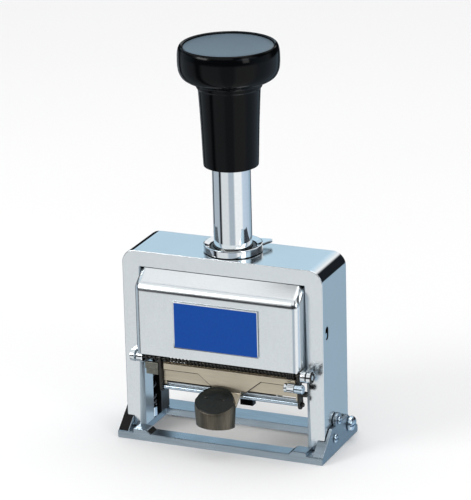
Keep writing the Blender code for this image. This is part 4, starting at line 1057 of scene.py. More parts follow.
def build_base():
    edge = sizes().base_edge
    base = block("foot_frame", (-FOOT_HALF, -FOOT_FRONT, 0), (FOOT_HALF, FOOT_FRONT, FOOT_THICK))
    cut(base, block("window", (*WINDOW_LOW, -OVERRUN), (*WINDOW_HIGH, FOOT_THICK + OVERRUN)))
    round_edges(base, edge, 2)
    # Each piece that stands on the frame is a hair proud of it, so that its rounded edges show
    sunk = FOOT_THICK / 5
    proud = CHEEK_PROUD
    rise = (CHEEK_TOP - CHEEK_NOSE) / (FOOT_FRONT - CHEEK_TOP_HALF)
    nose = FOOT_FRONT - proud
    side_outline = [
        (-nose, sunk),
        (-nose, CHEEK_NOSE + proud * rise),
        (-CHEEK_TOP_HALF, CHEEK_TOP),
        (CHEEK_TOP_HALF, CHEEK_TOP),
        (nose, CHEEK_NOSE + proud * rise),
        (nose, sunk),
    ]
    pocket = ARCH_FRONT + SEAT_GAP
    for _, side in SIDES:
        ends = span(side, WEDGE_INNER, FOOT_HALF + proud)
        unite(base, round_edges(plate("cheek", side_outline, "X", *ends), edge, 2))
        ends = span(side, CHEEK_INNER, FOOT_HALF + 2 * proud)
        unite(base, round_edges(bar("ear", LUG_RADIUS, "X", LUG_Y, LUG_Z, *ends), edge / 2, 2))
        start = CORNER_SLOPE * sunk / CORNER_TOP
        corner = [
            (side * (CORNER_INNER + start), sunk),
            (side * (CORNER_INNER + CORNER_SLOPE), CORNER_TOP),
            (side * CORNER_OUTER, CORNER_TOP),
            (side * CORNER_OUTER, sunk),
        ]
        unite(base, round_edges(plate("corner", corner, "Y", -FOOT_FRONT - proud, -pocket), edge, 2))
        low_x, high_x = span(side, WEDGE_INNER - OVERRUN, CHEEK_INNER)
        top = LUG_Z + LUG_RADIUS + OVERRUN
        cut(base, block("pocket", (low_x, -pocket, FOOT_THICK + proud), (high_x, pocket, top)))
    smooth(base)
    paint(base, "plated steel", "dark groove")

    def painted_dark_reflection_slope(face):
        place = face.center
        cheek_slope = face.normal.y < -0.3 and place.x < -WEDGE_INNER
        corner_slope = abs(face.normal.x) > 0.3 and CORNER_INNER < abs(place.x) < CORNER_INNER + CORNER_SLOPE
        on_slope = face.normal.z > 0.3 and (cheek_slope or corner_slope)
        return on_slope and place.z > FOOT_THICK and face.area > 2e-6

    # The sloped faces of the left cheek and of both corner blocks are painted near-black as a painted dark
    # reflection
    paint_faces(base, 1, painted_dark_reflection_slope)
    settle(base, "stand", "steel", "base_frame")
    for place, (across, up, shank, head, thick) in CHEEK_SCREWS.items():
        for label, side in SIDES:
            profile = [(head * r, side * (SCREW_SEAT + thick * h)) for r, h in PAN_HEAD_SHARES]
            profile += [(shank, side * SCREW_SEAT), (shank, side * SHANK_END), (0, side * SHANK_END)]
            screw = turned(f"cheek_screw_{place}_{label}", profile, "X", across, up, 40)
            ends = span(side, SCREW_SEAT + thick * 0.5, SCREW_SEAT + thick + OVERRUN)
            slot_half = SLOT_WIDTH / 2
            slot_low = (ends[0], across - head - OVERRUN, up - slot_half)
            cut(screw, block("slot", slot_low, (ends[1], across + head + OVERRUN, up + slot_half)))
            dress(screw, "bright steel", "stand", "steel", f"base_screw_{place}_{label}")


def build_bush_and_collar():
    profile = [
        (BUSH_NECK - SMALL_EDGE, BUSH_TOP),
        (BUSH_NECK, BUSH_TOP - SMALL_EDGE),
        (BUSH_NECK, ARCH_TOP),
        (BUSH_FLANGE, ARCH_TOP),
        (BUSH_FLANGE, STEM_FOOT),
        (BUSH_BORE, STEM_FOOT),
        (BUSH_BORE, BUSH_TOP),
    ]
    bush = turned("guide_bush", profile, "Z", bored=True)
    dress(bush, "blackened steel", "stand", "dark_steel", "stem_bush")
    rim = TURNED_RIM
    profile = [
        (COLLAR_RADIUS - rim, COLLAR_TOP),
        (COLLAR_RADIUS - rim * 0.3, COLLAR_TOP - rim * 0.3),
        (COLLAR_RADIUS, COLLAR_TOP - rim),
        (COLLAR_RADIUS, COLLAR_FOOT + rim / 2),
        (COLLAR_RADIUS - rim / 2, COLLAR_FOOT),
        (COLLAR_BORE, COLLAR_FOOT),
        (COLLAR_BORE, COLLAR_TOP - COLLAR_DISH - rim / 2),
        (COLLAR_BORE + rim / 2, COLLAR_TOP - COLLAR_DISH),
    ]
    collar = turned("lock_collar", profile, "Z", bored=True)
    reach = Vector((math.cos(COLLAR_TAB_ANGLE), math.sin(COLLAR_TAB_ANGLE)))
    across = Vector((-reach.y, reach.x))
    tips = [reach * COLLAR_TAB_REACH + across * side * COLLAR_TAB_TIP for side in (-1, 1)]
    root = (COLLAR_RADIUS + COLLAR_BORE) / 2
    spread = COLLAR_TAB_SPREAD
    outline = [tuple(tip) for tip in tips]
    outline += arc(0, 0, root, COLLAR_TAB_ANGLE + spread, COLLAR_TAB_ANGLE - spread, 10)
    tab = plate("collar_tab", outline, "Z", COLLAR_TAB_LOW, COLLAR_TAB_HIGH)
    unite(collar, round_edges(tab, SMALL_EDGE))
    dress(collar, "polished chrome", "lock", "chrome", "lock_ring")


def flowing(points, steps):
    """A smooth line through points."""
    line = []
    for k in range(len(points) - 1):
        before = Vector(points[max(0, k - 1)])
        one, two = Vector(points[k]), Vector(points[k + 1])
        after = Vector(points[min(len(points) - 1, k + 2)])
        for step in range(steps):
            t = step / steps
            line.append(
                0.5
                * (
                    2 * one
                    + (two - before) * t
                    + (2 * before - 5 * one + 4 * two - after) * t * t
                    + (3 * one - before - 3 * two + after) * t * t * t
                )
            )
    return [tuple(p) for p in line] + [tuple(points[-1])]


def build_stem_and_knob():
    rim = TURNED_RIM
    profile = [
        (0, SPIGOT_TOP),
        (SPIGOT_RADIUS - rim, SPIGOT_TOP),
        (SPIGOT_RADIUS, SPIGOT_TOP - rim),
        (SPIGOT_RADIUS, SHOULDER_Z),
        (STEM_RADIUS - rim, SHOULDER_Z),
        (STEM_RADIUS, SHOULDER_Z - rim),
        (STEM_RADIUS, STEM_FOOT + rim),
        (STEM_RADIUS - rim, STEM_FOOT),
        (0, STEM_FOOT),
    ]
    stem = turned("plunger_stem", profile, "Z", steps=128)
    dress(stem, "polished chrome", "plunger", "chrome", "stem")
    length = KNOB_TOP - GRIP_FOOT
    seat = CAP_RADIUS + SEAT_GAP
    floor = KNOB_TOP - CAP_THICK - SEAT_GAP
    outer = flowing([(r * KNOB_RADIUS, GRIP_FOOT + h * length) for r, h in KNOB_OUTLINE_SHARES], 4)
    socket = STEM_RADIUS + SEAT_GAP
    profile = [(0, floor), (seat, floor), (seat, KNOB_TOP - SEAT_GAP)] + outer
    profile += [(socket, GRIP_FOOT), (socket, SHOULDER_Z + SEAT_GAP), (0, SHOULDER_Z + SEAT_GAP)]
    grip = turned("grip", profile, "Z", steps=128)
    cut(grip, bar("spigot_bore", SPIGOT_RADIUS + SEAT_GAP, "Z", 0, 0, SHOULDER_Z, SPIGOT_TOP + SEAT_GAP))
    dress(grip, "black moulding", "plunger", "black_plastic", "knob", angle=40)
    edge = KNOB_TOP - CAP_DOME
    profile = [
        (0, KNOB_TOP),
        (CAP_RADIUS * 0.3, KNOB_TOP - CAP_DOME * 0.09),
        (CAP_RADIUS * 0.6, KNOB_TOP - CAP_DOME * 0.36),
        (CAP_RADIUS * 0.85, KNOB_TOP - CAP_DOME * 0.72),
        (CAP_RADIUS * 0.975, edge - 0.0001),
        (CAP_RADIUS, edge - 0.0003),
        (CAP_RADIUS, KNOB_TOP - CAP_THICK),
        (0, KNOB_TOP - CAP_THICK),
    ]
    cap = turned("grip_cap", profile, "Z", steps=128)
    dress(cap, "grey cap", "plunger", "cap_grey", "knob_cap", angle=40, even=False)


def build_wheel_form():
    """One wheel with ten raised figures, its ratchet at its right."""
    lands = []
    teeth = []
    for digit in range(len(DIGITS)):
        middle = math.tau * digit / len(DIGITS) - math.pi / 2
        flat = Vector((math.cos(middle), math.sin(middle)))
        side = Vector((-flat.y, flat.x))
        step = math.pi / len(DIGITS)
        for across in (-TYPE_LAND_HALF, TYPE_LAND_HALF):
            lands.append(flat * TYPE_FLAT + side * across)
        valley = middle + step
        lands.append(Vector((math.cos(valley), math.sin(valley))) * TYPE_VALLEY)
        for share, radius in ((-1.0, RATCHET_ROOT), (0.9, RATCHET_TIP)):
            turn = middle + share * step
            teeth.append(Vector((math.cos(turn), math.sin(turn))) * radius)
    centred = Vector((0, WHEEL_Z))
    body = plate("wheel_form", [tuple(p + centred) for p in lands], "X", 0, TYPE_WIDTH)
    round_edges(body, FINE_EDGE, 2, 20)
    right = TYPE_WIDTH + RATCHET_WIDTH
    ratchet = plate("ratchet", [tuple(p + centred) for p in teeth], "X", TYPE_WIDTH - SEAT_GAP, right)
    unite(body, ratchet)
    cut(body, bar("bore", WHEEL_BORE, "X", 0, WHEEL_Z, -OVERRUN, right + OVERRUN, 32))
    smooth(body)
    paint(body, "turned brass", "blackened steel")
    figures = []
    for digit, figure in enumerate(DIGITS):
        raised = figure_form(figure, TYPE_SIZE, DIGIT_THICK)
        # Seen from outside, the figure is its own back, so it prints the right way round
        turn = math.tau * digit / len(DIGITS)
        base_turn = Matrix.Rotation(turn, 4, "X")
        lift = Matrix.Translation((TYPE_WIDTH / 2, 0, -TYPE_FACE + DIGIT_THICK))
        raised.data.transform(Matrix.Translation((0, 0, WHEEL_Z)) @ base_turn @ lift)
        paint(raised, "blackened steel")
        figures.append(raised)
    gather(body, *figures)
    return body


def build_wheels():
    form = build_wheel_form()
    for index in range(WHEEL_COUNT):
        hold(form)
        bpy.ops.object.duplicate()
        wheel = bpy.context.object
        wheel.name = f"type_wheel_{index + 1}"
        wheel.data.name = wheel.name
        wheel.location.x = WHEELS_LEFT + index * WHEEL_PITCH
        fix_place(wheel)
        settle(wheel, f"wheel_{index + 1}", "brass", f"number_wheel_{index + 1}")
    bpy.data.objects.remove(form, do_unlink=True)


def build_springs():
    points_a_curl = 20
    for label, side in SIDES:
        total = SPRING_CURLS * points_a_curl
        points = []
        for k in range(total + 1):
            share = k / total
            if share < SPRING_END_SHARE:
                rise = share / SPRING_END_SHARE * SPRING_END_RISE
            elif share > 1 - SPRING_END_SHARE:
                rise = 1 - (1 - share) / SPRING_END_SHARE * SPRING_END_RISE
            else:
                open_part = (share - SPRING_END_SHARE) / (1 - 2 * SPRING_END_SHARE)
                rise = SPRING_END_RISE + open_part * (1 - 2 * SPRING_END_RISE)
            turn = math.tau * k / points_a_curl
            x = side * SPRING_PLACE + SPRING_MEAN * math.cos(turn)
            points.append((x, SPRING_MEAN * math.sin(turn), SPRING_FOOT + rise * (SPRING_HEAD - SPRING_FOOT)))
        spring = wound(f"leg_spring_{label}", points, SPRING_WIRE)
        paint(spring, "spring wire")
        settle(spring, "stand", "spring_steel", f"return_spring_{label}")
        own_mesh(spring)


def coil_points(curls, left, right, radius):
    points_a_curl = 16
    total = curls * points_a_curl
    points = []
    for k in range(total + 1):
        turn = math.tau * k / points_a_curl
        x = left + (right - left) * k / total
        points.append((x, PIVOT_Y + radius * math.cos(turn), PIVOT_Z + radius * math.sin(turn)))
    return points


def build_pivot():
    head, outer_end = ROD_HEAD, ROD_HEAD_END
    chamfer = BLUNT_EDGE
    round_off = TURNED_RIM
    ring_outer, ring_inner = head - 0.0009, head - 0.0013
    ring_floor = outer_end - 0.0005
    boss_end = outer_end - 0.0001
    slope = 0.0001
    profile = [
        (0, -ROD_END),
        (ROD_RADIUS * 0.8, -ROD_END),
        (ROD_RADIUS, -ROD_END + SMALL_EDGE),
        (ROD_RADIUS, ROD_COLLAR_LEFT),
        (ROD_COLLAR - chamfer, ROD_COLLAR_LEFT),
        (ROD_COLLAR, ROD_COLLAR_LEFT + chamfer),
        (ROD_COLLAR, ROD_COLLAR_RIGHT - chamfer),
        (ROD_COLLAR - chamfer, ROD_COLLAR_RIGHT),
        (ROD_RADIUS, ROD_COLLAR_RIGHT),
        (ROD_RADIUS, ROD_END),
        (head - chamfer, ROD_END),
        (head, ROD_END + chamfer),
        (head, outer_end - round_off),
        (head - round_off, outer_end),
        (ring_outer + slope, outer_end),
        (ring_outer, ring_floor),
        (ring_inner, ring_floor),
        (ring_inner - slope, boss_end),
        (0, outer_end),
    ]
    rod = turned("pivot_rod", profile, "X", PIVOT_Y, PIVOT_Z, 48)
    smooth(rod, 40)
    paint(rod, "polished chrome", "blackened steel")

    # The rod between its collar and its head, wound with the coils, and the ring recess of its head are
    # painted blackened steel as painted shade
    def painted_shade_part(face):
        place = face.center
        radius = math.hypot(place.y - PIVOT_Y, place.z - PIVOT_Z)
        ring = place.x > ring_floor - slope / 2 and radius > ring_inner
        return ROD_COLLAR_RIGHT < place.x < ROD_END - OVERRUN or ring

    paint_faces(rod, 1, painted_shade_part)
    settle(rod, "stand", "chrome", "inker_rod")
    wire = sizes().coil_wire
    coil = wound("pivot_coil", coil_points(sizes().coil_curls, COIL_LEFT, COIL_END_LEFT, COIL_MEAN), wire)
    end_points = coil_points(COIL_END_CURLS, COIL_END_LEFT, COIL_RIGHT, COIL_END_MEAN)
    gather(coil, wound("coil_end", end_points, COIL_END_WIRE))
    paint(coil, "blackened steel")
    settle(coil, "stand", "dark_steel", "inker_spring")
    stub = wound("pivot_coil_stub", coil_points(STUB_CURLS, STUB_LEFT, STUB_RIGHT, COIL_MEAN), wire)
    paint(stub, "blackened steel")
    settle(stub, "stand", "dark_steel", "inker_spring_stub")


def build_arms():
    outline = link((PIVOT_Y, PIVOT_Z), ARM_EYE, (CROSS_Y, CROSS_Z), ARM_FOOT_EYE)
    for label, side, outer in (("left", -1, LEFT_ARM), ("right", 1, RIGHT_ARM)):
        ends = span(side, outer - ARM_THICK, outer)
        arm = plate(f"swing_arm_{label}", outline, "X", *ends)
        past = span(side, outer - ARM_THICK - OVERRUN, outer + OVERRUN)
        cut(arm, bar("eye", ROD_RADIUS + SEAT_GAP, "X", PIVOT_Y, PIVOT_Z, *past, 24))
        cut(arm, bar("eye", CROSS_RADIUS + SEAT_GAP, "X", CROSS_Y, CROSS_Z, *past, 24))
        round_edges(arm, FINE_EDGE, 2)
        paint(arm, "blackened steel")
        if side > 0:
            middle = outer - ARM_THICK / 2
            hook = [
                (0, middle),
                (HOOK_PIN, middle),
                (HOOK_PIN, HOOK_PIN_END - BLUNT_EDGE),
                (HOOK_PIN - BLUNT_EDGE, HOOK_PIN_END),
                (0, HOOK_PIN_END),
            ]
            pin = turned("hook_pin", hook, "X", HOOK_PIN_Y, HOOK_PIN_Z, 32)
            hub_profile = [
                (0, outer - ARM_THICK),
                (HUB_RADIUS, outer - ARM_THICK),
                (HUB_RADIUS, HUB_END - TURNED_RIM),
                (HUB_RADIUS - TURNED_RIM, HUB_END),
                (0, HUB_END),
            ]
            hub = turned("hub", hub_profile, "X", HUB_Y, HUB_Z, 32)
            paint(pin, "blackened steel")
            paint(hub, "bright steel")
            smooth(pin)
            smooth(hub)
            smooth(arm)
            gather(arm, pin, hub)
        else:
            smooth(arm)
        settle(arm, "inker", "dark_steel", f"inker_arm_{label}")
    groove = CLIP_GROOVE
    right_clip = CROSS_RIGHT - 3 * groove
    profile = [
        (0, CROSS_LEFT),
        (CROSS_RADIUS - SMALL_EDGE, CROSS_LEFT),
        (CROSS_RADIUS, CROSS_LEFT + SMALL_EDGE),
        (CROSS_RADIUS, right_clip),
        (CROSS_RADIUS - groove, right_clip),
        (CROSS_RADIUS - groove, right_clip + groove),
        (CROSS_RADIUS, right_clip + groove),
        (CROSS_RADIUS, CROSS_RIGHT - SMALL_EDGE),
        (CROSS_RADIUS - SMALL_EDGE, CROSS_RIGHT),
        (0, CROSS_RIGHT),
    ]
    rod = turned("cross_rod", profile, "X", CROSS_Y, CROSS_Z, 40)
    smooth(rod)
    paint(rod, "bright steel", "blackened steel")
    paint_faces(rod, 1, lambda face: face.center.x > right_clip - CLIP_DARK)
    settle(rod, "inker", "steel", "tray_rod")


def build_tray():
    tray = block("pad_tray", (TRAY_LEFT, TRAY_FRONT, TRAY_LOW), (TRAY_RIGHT, TRAY_STRIP_BACK, TRAY_HIGH))
    sunk = TRAY_HIGH - TRAY_WALL / 2
    lap = TRAY_STRIP_BACK - OVERRUN
    unite(tray, block("floor", (-TRAY_HALF, lap, TRAY_LOW), (TRAY_HALF, TRAY_BACK, TRAY_HIGH)))
    unite(tray, block("rim", (-TRAY_HALF, TRAY_BACK - TRAY_WALL, sunk), (TRAY_HALF, TRAY_BACK, TRAY_RIM)))
    for _, side in SIDES:
        low_x, high_x = span(side, TRAY_HALF - TRAY_WALL, TRAY_HALF)
        unite(tray, block("rim", (low_x, TRAY_FRONT, sunk), (high_x, TRAY_BACK - TRAY_WALL / 2, TRAY_RIM)))
    lip = (TRAY_LEFT + TRAY_WALL, TRAY_FRONT - LIP_THICK, LIP_LOW)
    unite(tray, block("lip", lip, (TRAY_RIGHT - TRAY_WALL, TRAY_FRONT + LIP_THICK / 2, LIP_HIGH)))
    panel_middle = (PANEL_FRONT + PANEL_BACK) / 2
    for low_x, high_x in ((TRAY_LEFT, TRAY_LEFT + BRIDGE_WIDTH), (TRAY_RIGHT - BRIDGE_WIDTH, TRAY_RIGHT)):
        unite(tray, block("bridge", (low_x, panel_middle, sunk), (high_x, TRAY_STRIP_BACK, PANEL_HIGH)))
    unite(tray, block("panel", (TRAY_LEFT, PANEL_FRONT, PANEL_LOW), (TRAY_RIGHT, PANEL_BACK, PANEL_HIGH)))
    ends = (TRAY_LEFT - OVERRUN, TRAY_RIGHT + OVERRUN)
    cut(tray, bar("rod_room", CROSS_RADIUS + SEAT_GAP, "X", CROSS_Y, CROSS_Z, *ends))
    round_edges(tray, SHEET_EDGE, 2)
    smooth(tray)
    paint(tray, "warm nickel", "dull chrome")

    def on_lip(face):
        return face.center.z < LIP_HIGH + SEAT_GAP and face.center.y < TRAY_FRONT + LIP_THICK

    paint_faces(tray, 1, on_lip)
    settle(tray, "inker", "nickel", "ink_tray")
    pad_half = TRAY_HALF - TRAY_WALL - PAD_SIDE_GAP
    low = (-pad_half, TRAY_FRONT + PAD_SIDE_GAP, PAD_LOW)
    pad = block("felt_pad", low, (pad_half, TRAY_BACK - TRAY_WALL - PAD_SIDE_GAP, PAD_HIGH))
    round_edges(pad, BLUNT_EDGE, 3)
    start_edit(pad)
    bpy.ops.mesh.select_all(action="SELECT")
    bpy.ops.mesh.subdivide(number_cuts=12)
    release()
    fuzz = bpy.data.textures.new("felt_fuzz", "CLOUDS")
    fuzz.noise_scale = FUZZ_SCALE
    modify(pad, "DISPLACE", texture=fuzz, strength=FUZZ_HEIGHT, mid_level=0.75, texture_coords="LOCAL")
    dress(pad, "inked felt", "inker", "felt", "ink_pad", angle=60, even=False)


def build_holder():
    outline = [
        (HOLDER_LEFT, HOLDER_TOP),
        (HOLDER_LEFT, HOLDER_BAND),
        (HOLDER_MIDDLE - HOLDER_KNEE, HOLDER_BAND),
        (HOLDER_MIDDLE - HOLDER_APEX, HOLDER_FOOT),
        (HOLDER_MIDDLE + HOLDER_APEX, HOLDER_FOOT),
        (HOLDER_MIDDLE + HOLDER_KNEE, HOLDER_BAND),
        (HOLDER_RIGHT, HOLDER_BAND),
        (HOLDER_RIGHT, HOLDER_TOP),
    ]
    front = plate("holder_front", outline, "Y", HOLDER_FRONT, HOLDER_BACK)

    def lower_front(edge):
        ends = [v.co for v in edge.verts]
        return all(p.y < HOLDER_FRONT + TOUCH and p.z < HOLDER_BAND + TOUCH for p in ends)

    # The lower front edges get a narrow bevel that carries the painted shadow line
    bevel_picked(front, lower_front, HOLDER_SHADOW_BEVEL, 1)
    release()
    slope = math.tan(REST_TILT)
    under = (REST_THICK + SEAT_GAP) / math.cos(REST_TILT)
    thick = TONGUE_THICK / math.cos(REST_TILT)
    tip = HOLDER_FRONT - TONGUE_REACH
    tops = [REST_ROOT_Z - under + (y - REST_ROOT_Y) * slope for y in (HOLDER_BACK, HOLDER_FRONT, tip)]
    tongue = [
        (HOLDER_BACK, HOLDER_FOOT + OVERRUN),
        (HOLDER_FRONT, HOLDER_FOOT + OVERRUN),
        (HOLDER_FRONT, tops[1]),
        (tip, tops[2]),
        (tip, tops[2] - thick),
        (HOLDER_BACK, tops[0] - thick),
    ]
    unite(front, plate("tongue", tongue, "X", TONGUE_LEFT, TONGUE_RIGHT))
    round_edges(front, HOLDER_EDGE, 2)
    smooth(front)
    paint(front, "warm nickel", "seam brown")

    def in_painted_shadow_line(face):
        place = face.center
        above_tongue = place.y > HOLDER_FRONT - SEAT_GAP
        return above_tongue and face.normal.z < -0.3 and HOLDER_FOOT < place.z < HOLDER_BAND + HOLDER_SHADOW_BEVEL

    # The bevel and the lower faces of the band are painted dark brown as a painted shadow line against the
    # panel behind
    paint_faces(front, 1, in_painted_shadow_line)
    settle(front, "inker", "nickel", "holder_plate")
    block_low = (BLOCK_LEFT, BLOCK_FRONT, HOLDER_BAND)
    holder_block = block("side_block", block_low, (BLOCK_RIGHT, HOLDER_BACK, HOLDER_TOP))
    round_edges(holder_block, BLUNT_EDGE, 3)
    foot_low = (BLOCK_LEFT + SEAT_GAP, HOLDER_FRONT, BLOCK_FOOT)
    foot_high = (BLOCK_RIGHT - SEAT_GAP, HOLDER_BACK - SEAT_GAP, HOLDER_BAND + SEAT_GAP)
    foot = block("block_foot", foot_low, foot_high)
    unite(holder_block, round_edges(foot, FINE_EDGE))
    dress(holder_block, "dull steel", "inker", "steel", "holder_block")
    outline = fluted(HUB_Y, HUB_Z, HUB_RADIUS, NUT_KNURL, NUT_TEETH)
    nut = plate("knurled_nut", outline, "X", NUT_LEFT + NUT_KNURL_START, TRAY_RIGHT)
    flange_profile = [(HUB_RADIUS * r, NUT_LEFT + reach) for r, reach in NUT_FLANGE]
    flange = turned("flange", flange_profile, "X", HUB_Y, HUB_Z, 40)
    unite(nut, flange)
    dress(nut, "polished chrome", "inker", "chrome", "holder_nut", angle=20)
    catch = block("pad_catch", (CATCH_LEFT, CATCH_FRONT, CATCH_LOW), (CATCH_RIGHT, CATCH_BACK, CATCH_HIGH))
    start_edit(catch, "FACE")
    pick(catch, "FACE", lambda f: f.normal.y < -0.9)
    bpy.ops.mesh.inset(thickness=CATCH_RIM)
    bpy.ops.mesh.extrude_region_shrink_fatten(TRANSFORM_OT_shrink_fatten={"value": -CATCH_SUNK})
    round_edges(catch, CATCH_EDGE, 3)
    dress(catch, "black moulding", "inker", "black_plastic", "holder_catch")


def build_thumb_rest():
    """An oval dished plate that slopes down to the front, where its edge folds into an apron."""
    release()
    middle = Vector((REST_MIDDLE, REST_ROOT_Y, REST_ROOT_Z))
    middle -= Vector((0, math.cos(REST_TILT), math.sin(REST_TILT))) * REST_LENGTH / 2
    bpy.ops.mesh.primitive_circle_add(vertices=72, radius=1, fill_type="NGON", rotation=(REST_TILT, 0, 0))
    bpy.context.object.location = middle
    bpy.context.object.scale = (REST_HALF, REST_LENGTH / 2, 1)
    rest = named("thumb_rest")
    start_edit(rest, "FACE")
    bpy.ops.mesh.select_all(action="SELECT")
    bpy.ops.mesh.normals_make_consistent(inside=False)
    if rest.data.polygons[0].normal.z < 0:
        bpy.ops.mesh.flip_normals()
    # Rings towards the middle, each a little deeper than the last, make the dish
    for width, depth in REST_DISH:
        bpy.ops.mesh.inset(thickness=width, depth=-depth)
    bpy.ops.mesh.poke()
    pick(rest, "EDGE", lambda e: e.is_boundary and (e.verts[0].co.y + e.verts[1].co.y) / 2 < middle.y)
    for drop in APRON_DROPS:
        bpy.ops.mesh.extrude_edges_move(TRANSFORM_OT_translate={"value": (0, 0, -drop)})
    foot = (REST_MIDDLE, middle.y, APRON_FOOT)
    bpy.ops.transform.resize(value=(APRON_TAPER, APRON_TAPER, 0), center_override=foot)
    release()
    modify(rest, "SOLIDIFY", thickness=REST_THICK, offset=-1)
    start_edit(rest)
    close_up()
    release()
    # The sheet's faces are painted by facing: the top near-black as a painted dark reflection, the apron
    # brown as a painted reflection and the bend bright as a painted highlight
    paint(rest, "thumb black", "brown steel", "bright steel")
    modify(rest, "BEVEL", width=REST_BEND, segments=3, limit_method="ANGLE", angle_limit=math.radians(48))
    smooth(rest, 50)
    # The upright apron faces are painted brown as a painted reflection
    paint_faces(rest, 1, lambda face: abs(face.normal.z) < 0.35)

    def on_painted_highlight_bend(face):
        place = face.center
        plate_z = REST_ROOT_Z + (place.y - REST_ROOT_Y) * math.tan(REST_TILT)
        return 0.35 < face.normal.z < 0.8 and abs(place.z - plate_z) < REST_BEND and place.y < middle.y

    # The bend at the front rim is painted bright steel as a painted highlight
    paint_faces(rest, 2, on_painted_highlight_bend)
    settle(rest, "inker", "dark_steel", "thumb_tab")


def build_dial():
    outline = fluted(DIAL_X, DIAL_Z, DIAL_RADIUS, DIAL_VALLEY, DIAL_FLUTES)
    dial = plate("repeat_dial", outline, "Y", DIAL_BACK, DIAL_FRONT - SHEET_EDGE)
    start_edit(dial, "FACE")
    pick(dial, "FACE", lambda f: f.normal.y > 0.9)
    bpy.ops.mesh.inset(thickness=DIAL_RIM, depth=-DIAL_SUNK)
    release()
    cut(dial, bar("bore", DIAL_BORE, "Y", DIAL_X, DIAL_Z, DIAL_BACK - OVERRUN, DIAL_FRONT + OVERRUN, 32))
    round_edges(dial, SHEET_EDGE, 2)
    smooth(dial, 25)
    paint(dial, "plated steel", "figure fill")
    figures = []
    for index, figure in enumerate(DIAL_NUMBERS):
        mark = figure_form(figure, DIAL_FIGURE, DIAL_FIGURE_THICK)
        turn = math.tau * index / len(DIAL_NUMBERS)
        stand_up = Matrix.Rotation(math.pi, 4, "Z") @ Matrix.Rotation(math.pi / 2, 4, "X")
        lift = Matrix.Translation((0, 0, DIAL_FIGURE_RING))
        place = Matrix.Translation((DIAL_X, DIAL_FRONT - DIAL_FIGURE_SUNK, DIAL_Z))
        mark.data.transform(place @ Matrix.Rotation(turn, 4, "Y") @ lift @ stand_up)
        paint(mark, "figure fill")
        figures.append(mark)
    gather(dial, *figures)
    settle(dial, "dial", "steel", "selector_dial")
    thick = DIAL_SCREW_TOP - DIAL_SCREW_SEAT
    profile = [(DIAL_SCREW_HEAD * r, DIAL_SCREW_SEAT + thick * h) for r, h in PAN_HEAD_SHARES]
    foot = REAR_FACE - HOOD_WALL
    profile += [(DIAL_SCREW_SHANK, DIAL_SCREW_SEAT), (DIAL_SCREW_SHANK, foot), (0, foot)]
    screw = turned("dial_centre_screw", profile, "Y", DIAL_X, DIAL_Z, 40)
    reach = DIAL_SCREW_HEAD + OVERRUN
    low = (DIAL_X - reach, DIAL_SCREW_SEAT + thick / 2, DIAL_Z - SLOT_WIDTH / 2)
    cut(screw, block("slot", low, (DIAL_X + reach, DIAL_SCREW_TOP + OVERRUN, DIAL_Z + SLOT_WIDTH / 2)))
    dress(screw, "bright steel", "stand", "steel", "dial_screw")


KEPT_NODES = {
    "worn black steel": ("yoke", "side_plate_left", "side_plate_right"),
    "plated steel": ("pawl_frame",),
    "bright steel": (
        "front_cover_pin_left",
        "front_cover_pin_right",
        "rear_cover_pin_left",
        "rear_cover_pin_right",
        "wheel_shaft",
        "shaft_nut_left",
        "shaft_nut_right",
        "detent_rod",
        "spring_post_left",
        "spring_post_right",
    ),
    "turned brass": ("shaft_sleeve_left", "shaft_sleeve_right"),
    "spring wire": ("pawl_comb", "detent_comb"),
}


def dress_kept_nodes():
    """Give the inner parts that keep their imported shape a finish."""
    for name, nodes in KEPT_NODES.items():
        for node in nodes:
            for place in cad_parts[node].material_slots:
                place.material = finish(name)


# Stage


CARD_BLACK = (0.012, 0.014, 0.018)
CARD_WHITE = (1.0, 1.0, 1.0)
CARD_PALE = (0.78, 0.8, 0.81)
CARD_GREY = (0.45, 0.51, 0.57)
CARD_SLATE = (0.26, 0.34, 0.42)
CARD_SKY = (0.58, 0.77, 0.9)
CARD_MIST = (0.6, 0.7, 0.82)
CARD_HAZE = (0.5, 0.61, 0.73)
CARD_DUSK = (0.34, 0.46, 0.56)
# Rings of studio cards from the lowest up: the heights between which each takes over from the one below,
# and its cards, each from one angle to another to the right of the camera
CARD_RINGS = (
    (-1.0, -1.0, (
        (-180, -168, CARD_BLACK), (-160, -152, CARD_GREY), (-146, -138, CARD_BLACK),
        (-132, -85, CARD_GREY), (-78, -70, CARD_BLACK), (-62, -24, CARD_PALE), (-16, 10, CARD_GREY),
        (18, 58, CARD_WHITE), (68, 68, CARD_MIST), (115, 115, CARD_HAZE), (128, 142, CARD_DUSK),
        (150, 158, CARD_BLACK), (166, 166, CARD_GREY), (174, 174, CARD_BLACK),
    )),
    (-0.18, -0.13, (
        (-180, -140, CARD_BLACK), (-128, -128, CARD_GREY), (-95, -95, CARD_SLATE), (-80, 40, CARD_BLACK),
        (60, 60, CARD_SLATE), (100, 100, CARD_GREY), (112, 180, CARD_BLACK),
    )),
    (0.2, 0.26, (
        (-180, -165, CARD_SKY), (-140, -140, CARD_SLATE), (-128, -92, CARD_BLACK),
        (-84, -50, CARD_WHITE), (-42, 14, CARD_BLACK), (26, 66, CARD_SKY), (72, 142, CARD_BLACK),
        (150, 164, CARD_WHITE), (174, 174, CARD_SKY),
    )),
    (0.4, 0.48, (
        (-180, -140, CARD_SKY), (-100, -100, CARD_PALE), (8, 8, CARD_WHITE), (14, 30, CARD_BLACK),
        (36, 60, CARD_WHITE), (67, 98, CARD_BLACK), (110, 110, CARD_GREY), (150, 150, CARD_WHITE),
        (170, 170, CARD_SKY),
    )),
    (0.845, 0.855, (
        (-180, 180, CARD_SLATE),
    )),
    (0.87, 0.88, (
        (-180, 180, CARD_WHITE),
    )),
)
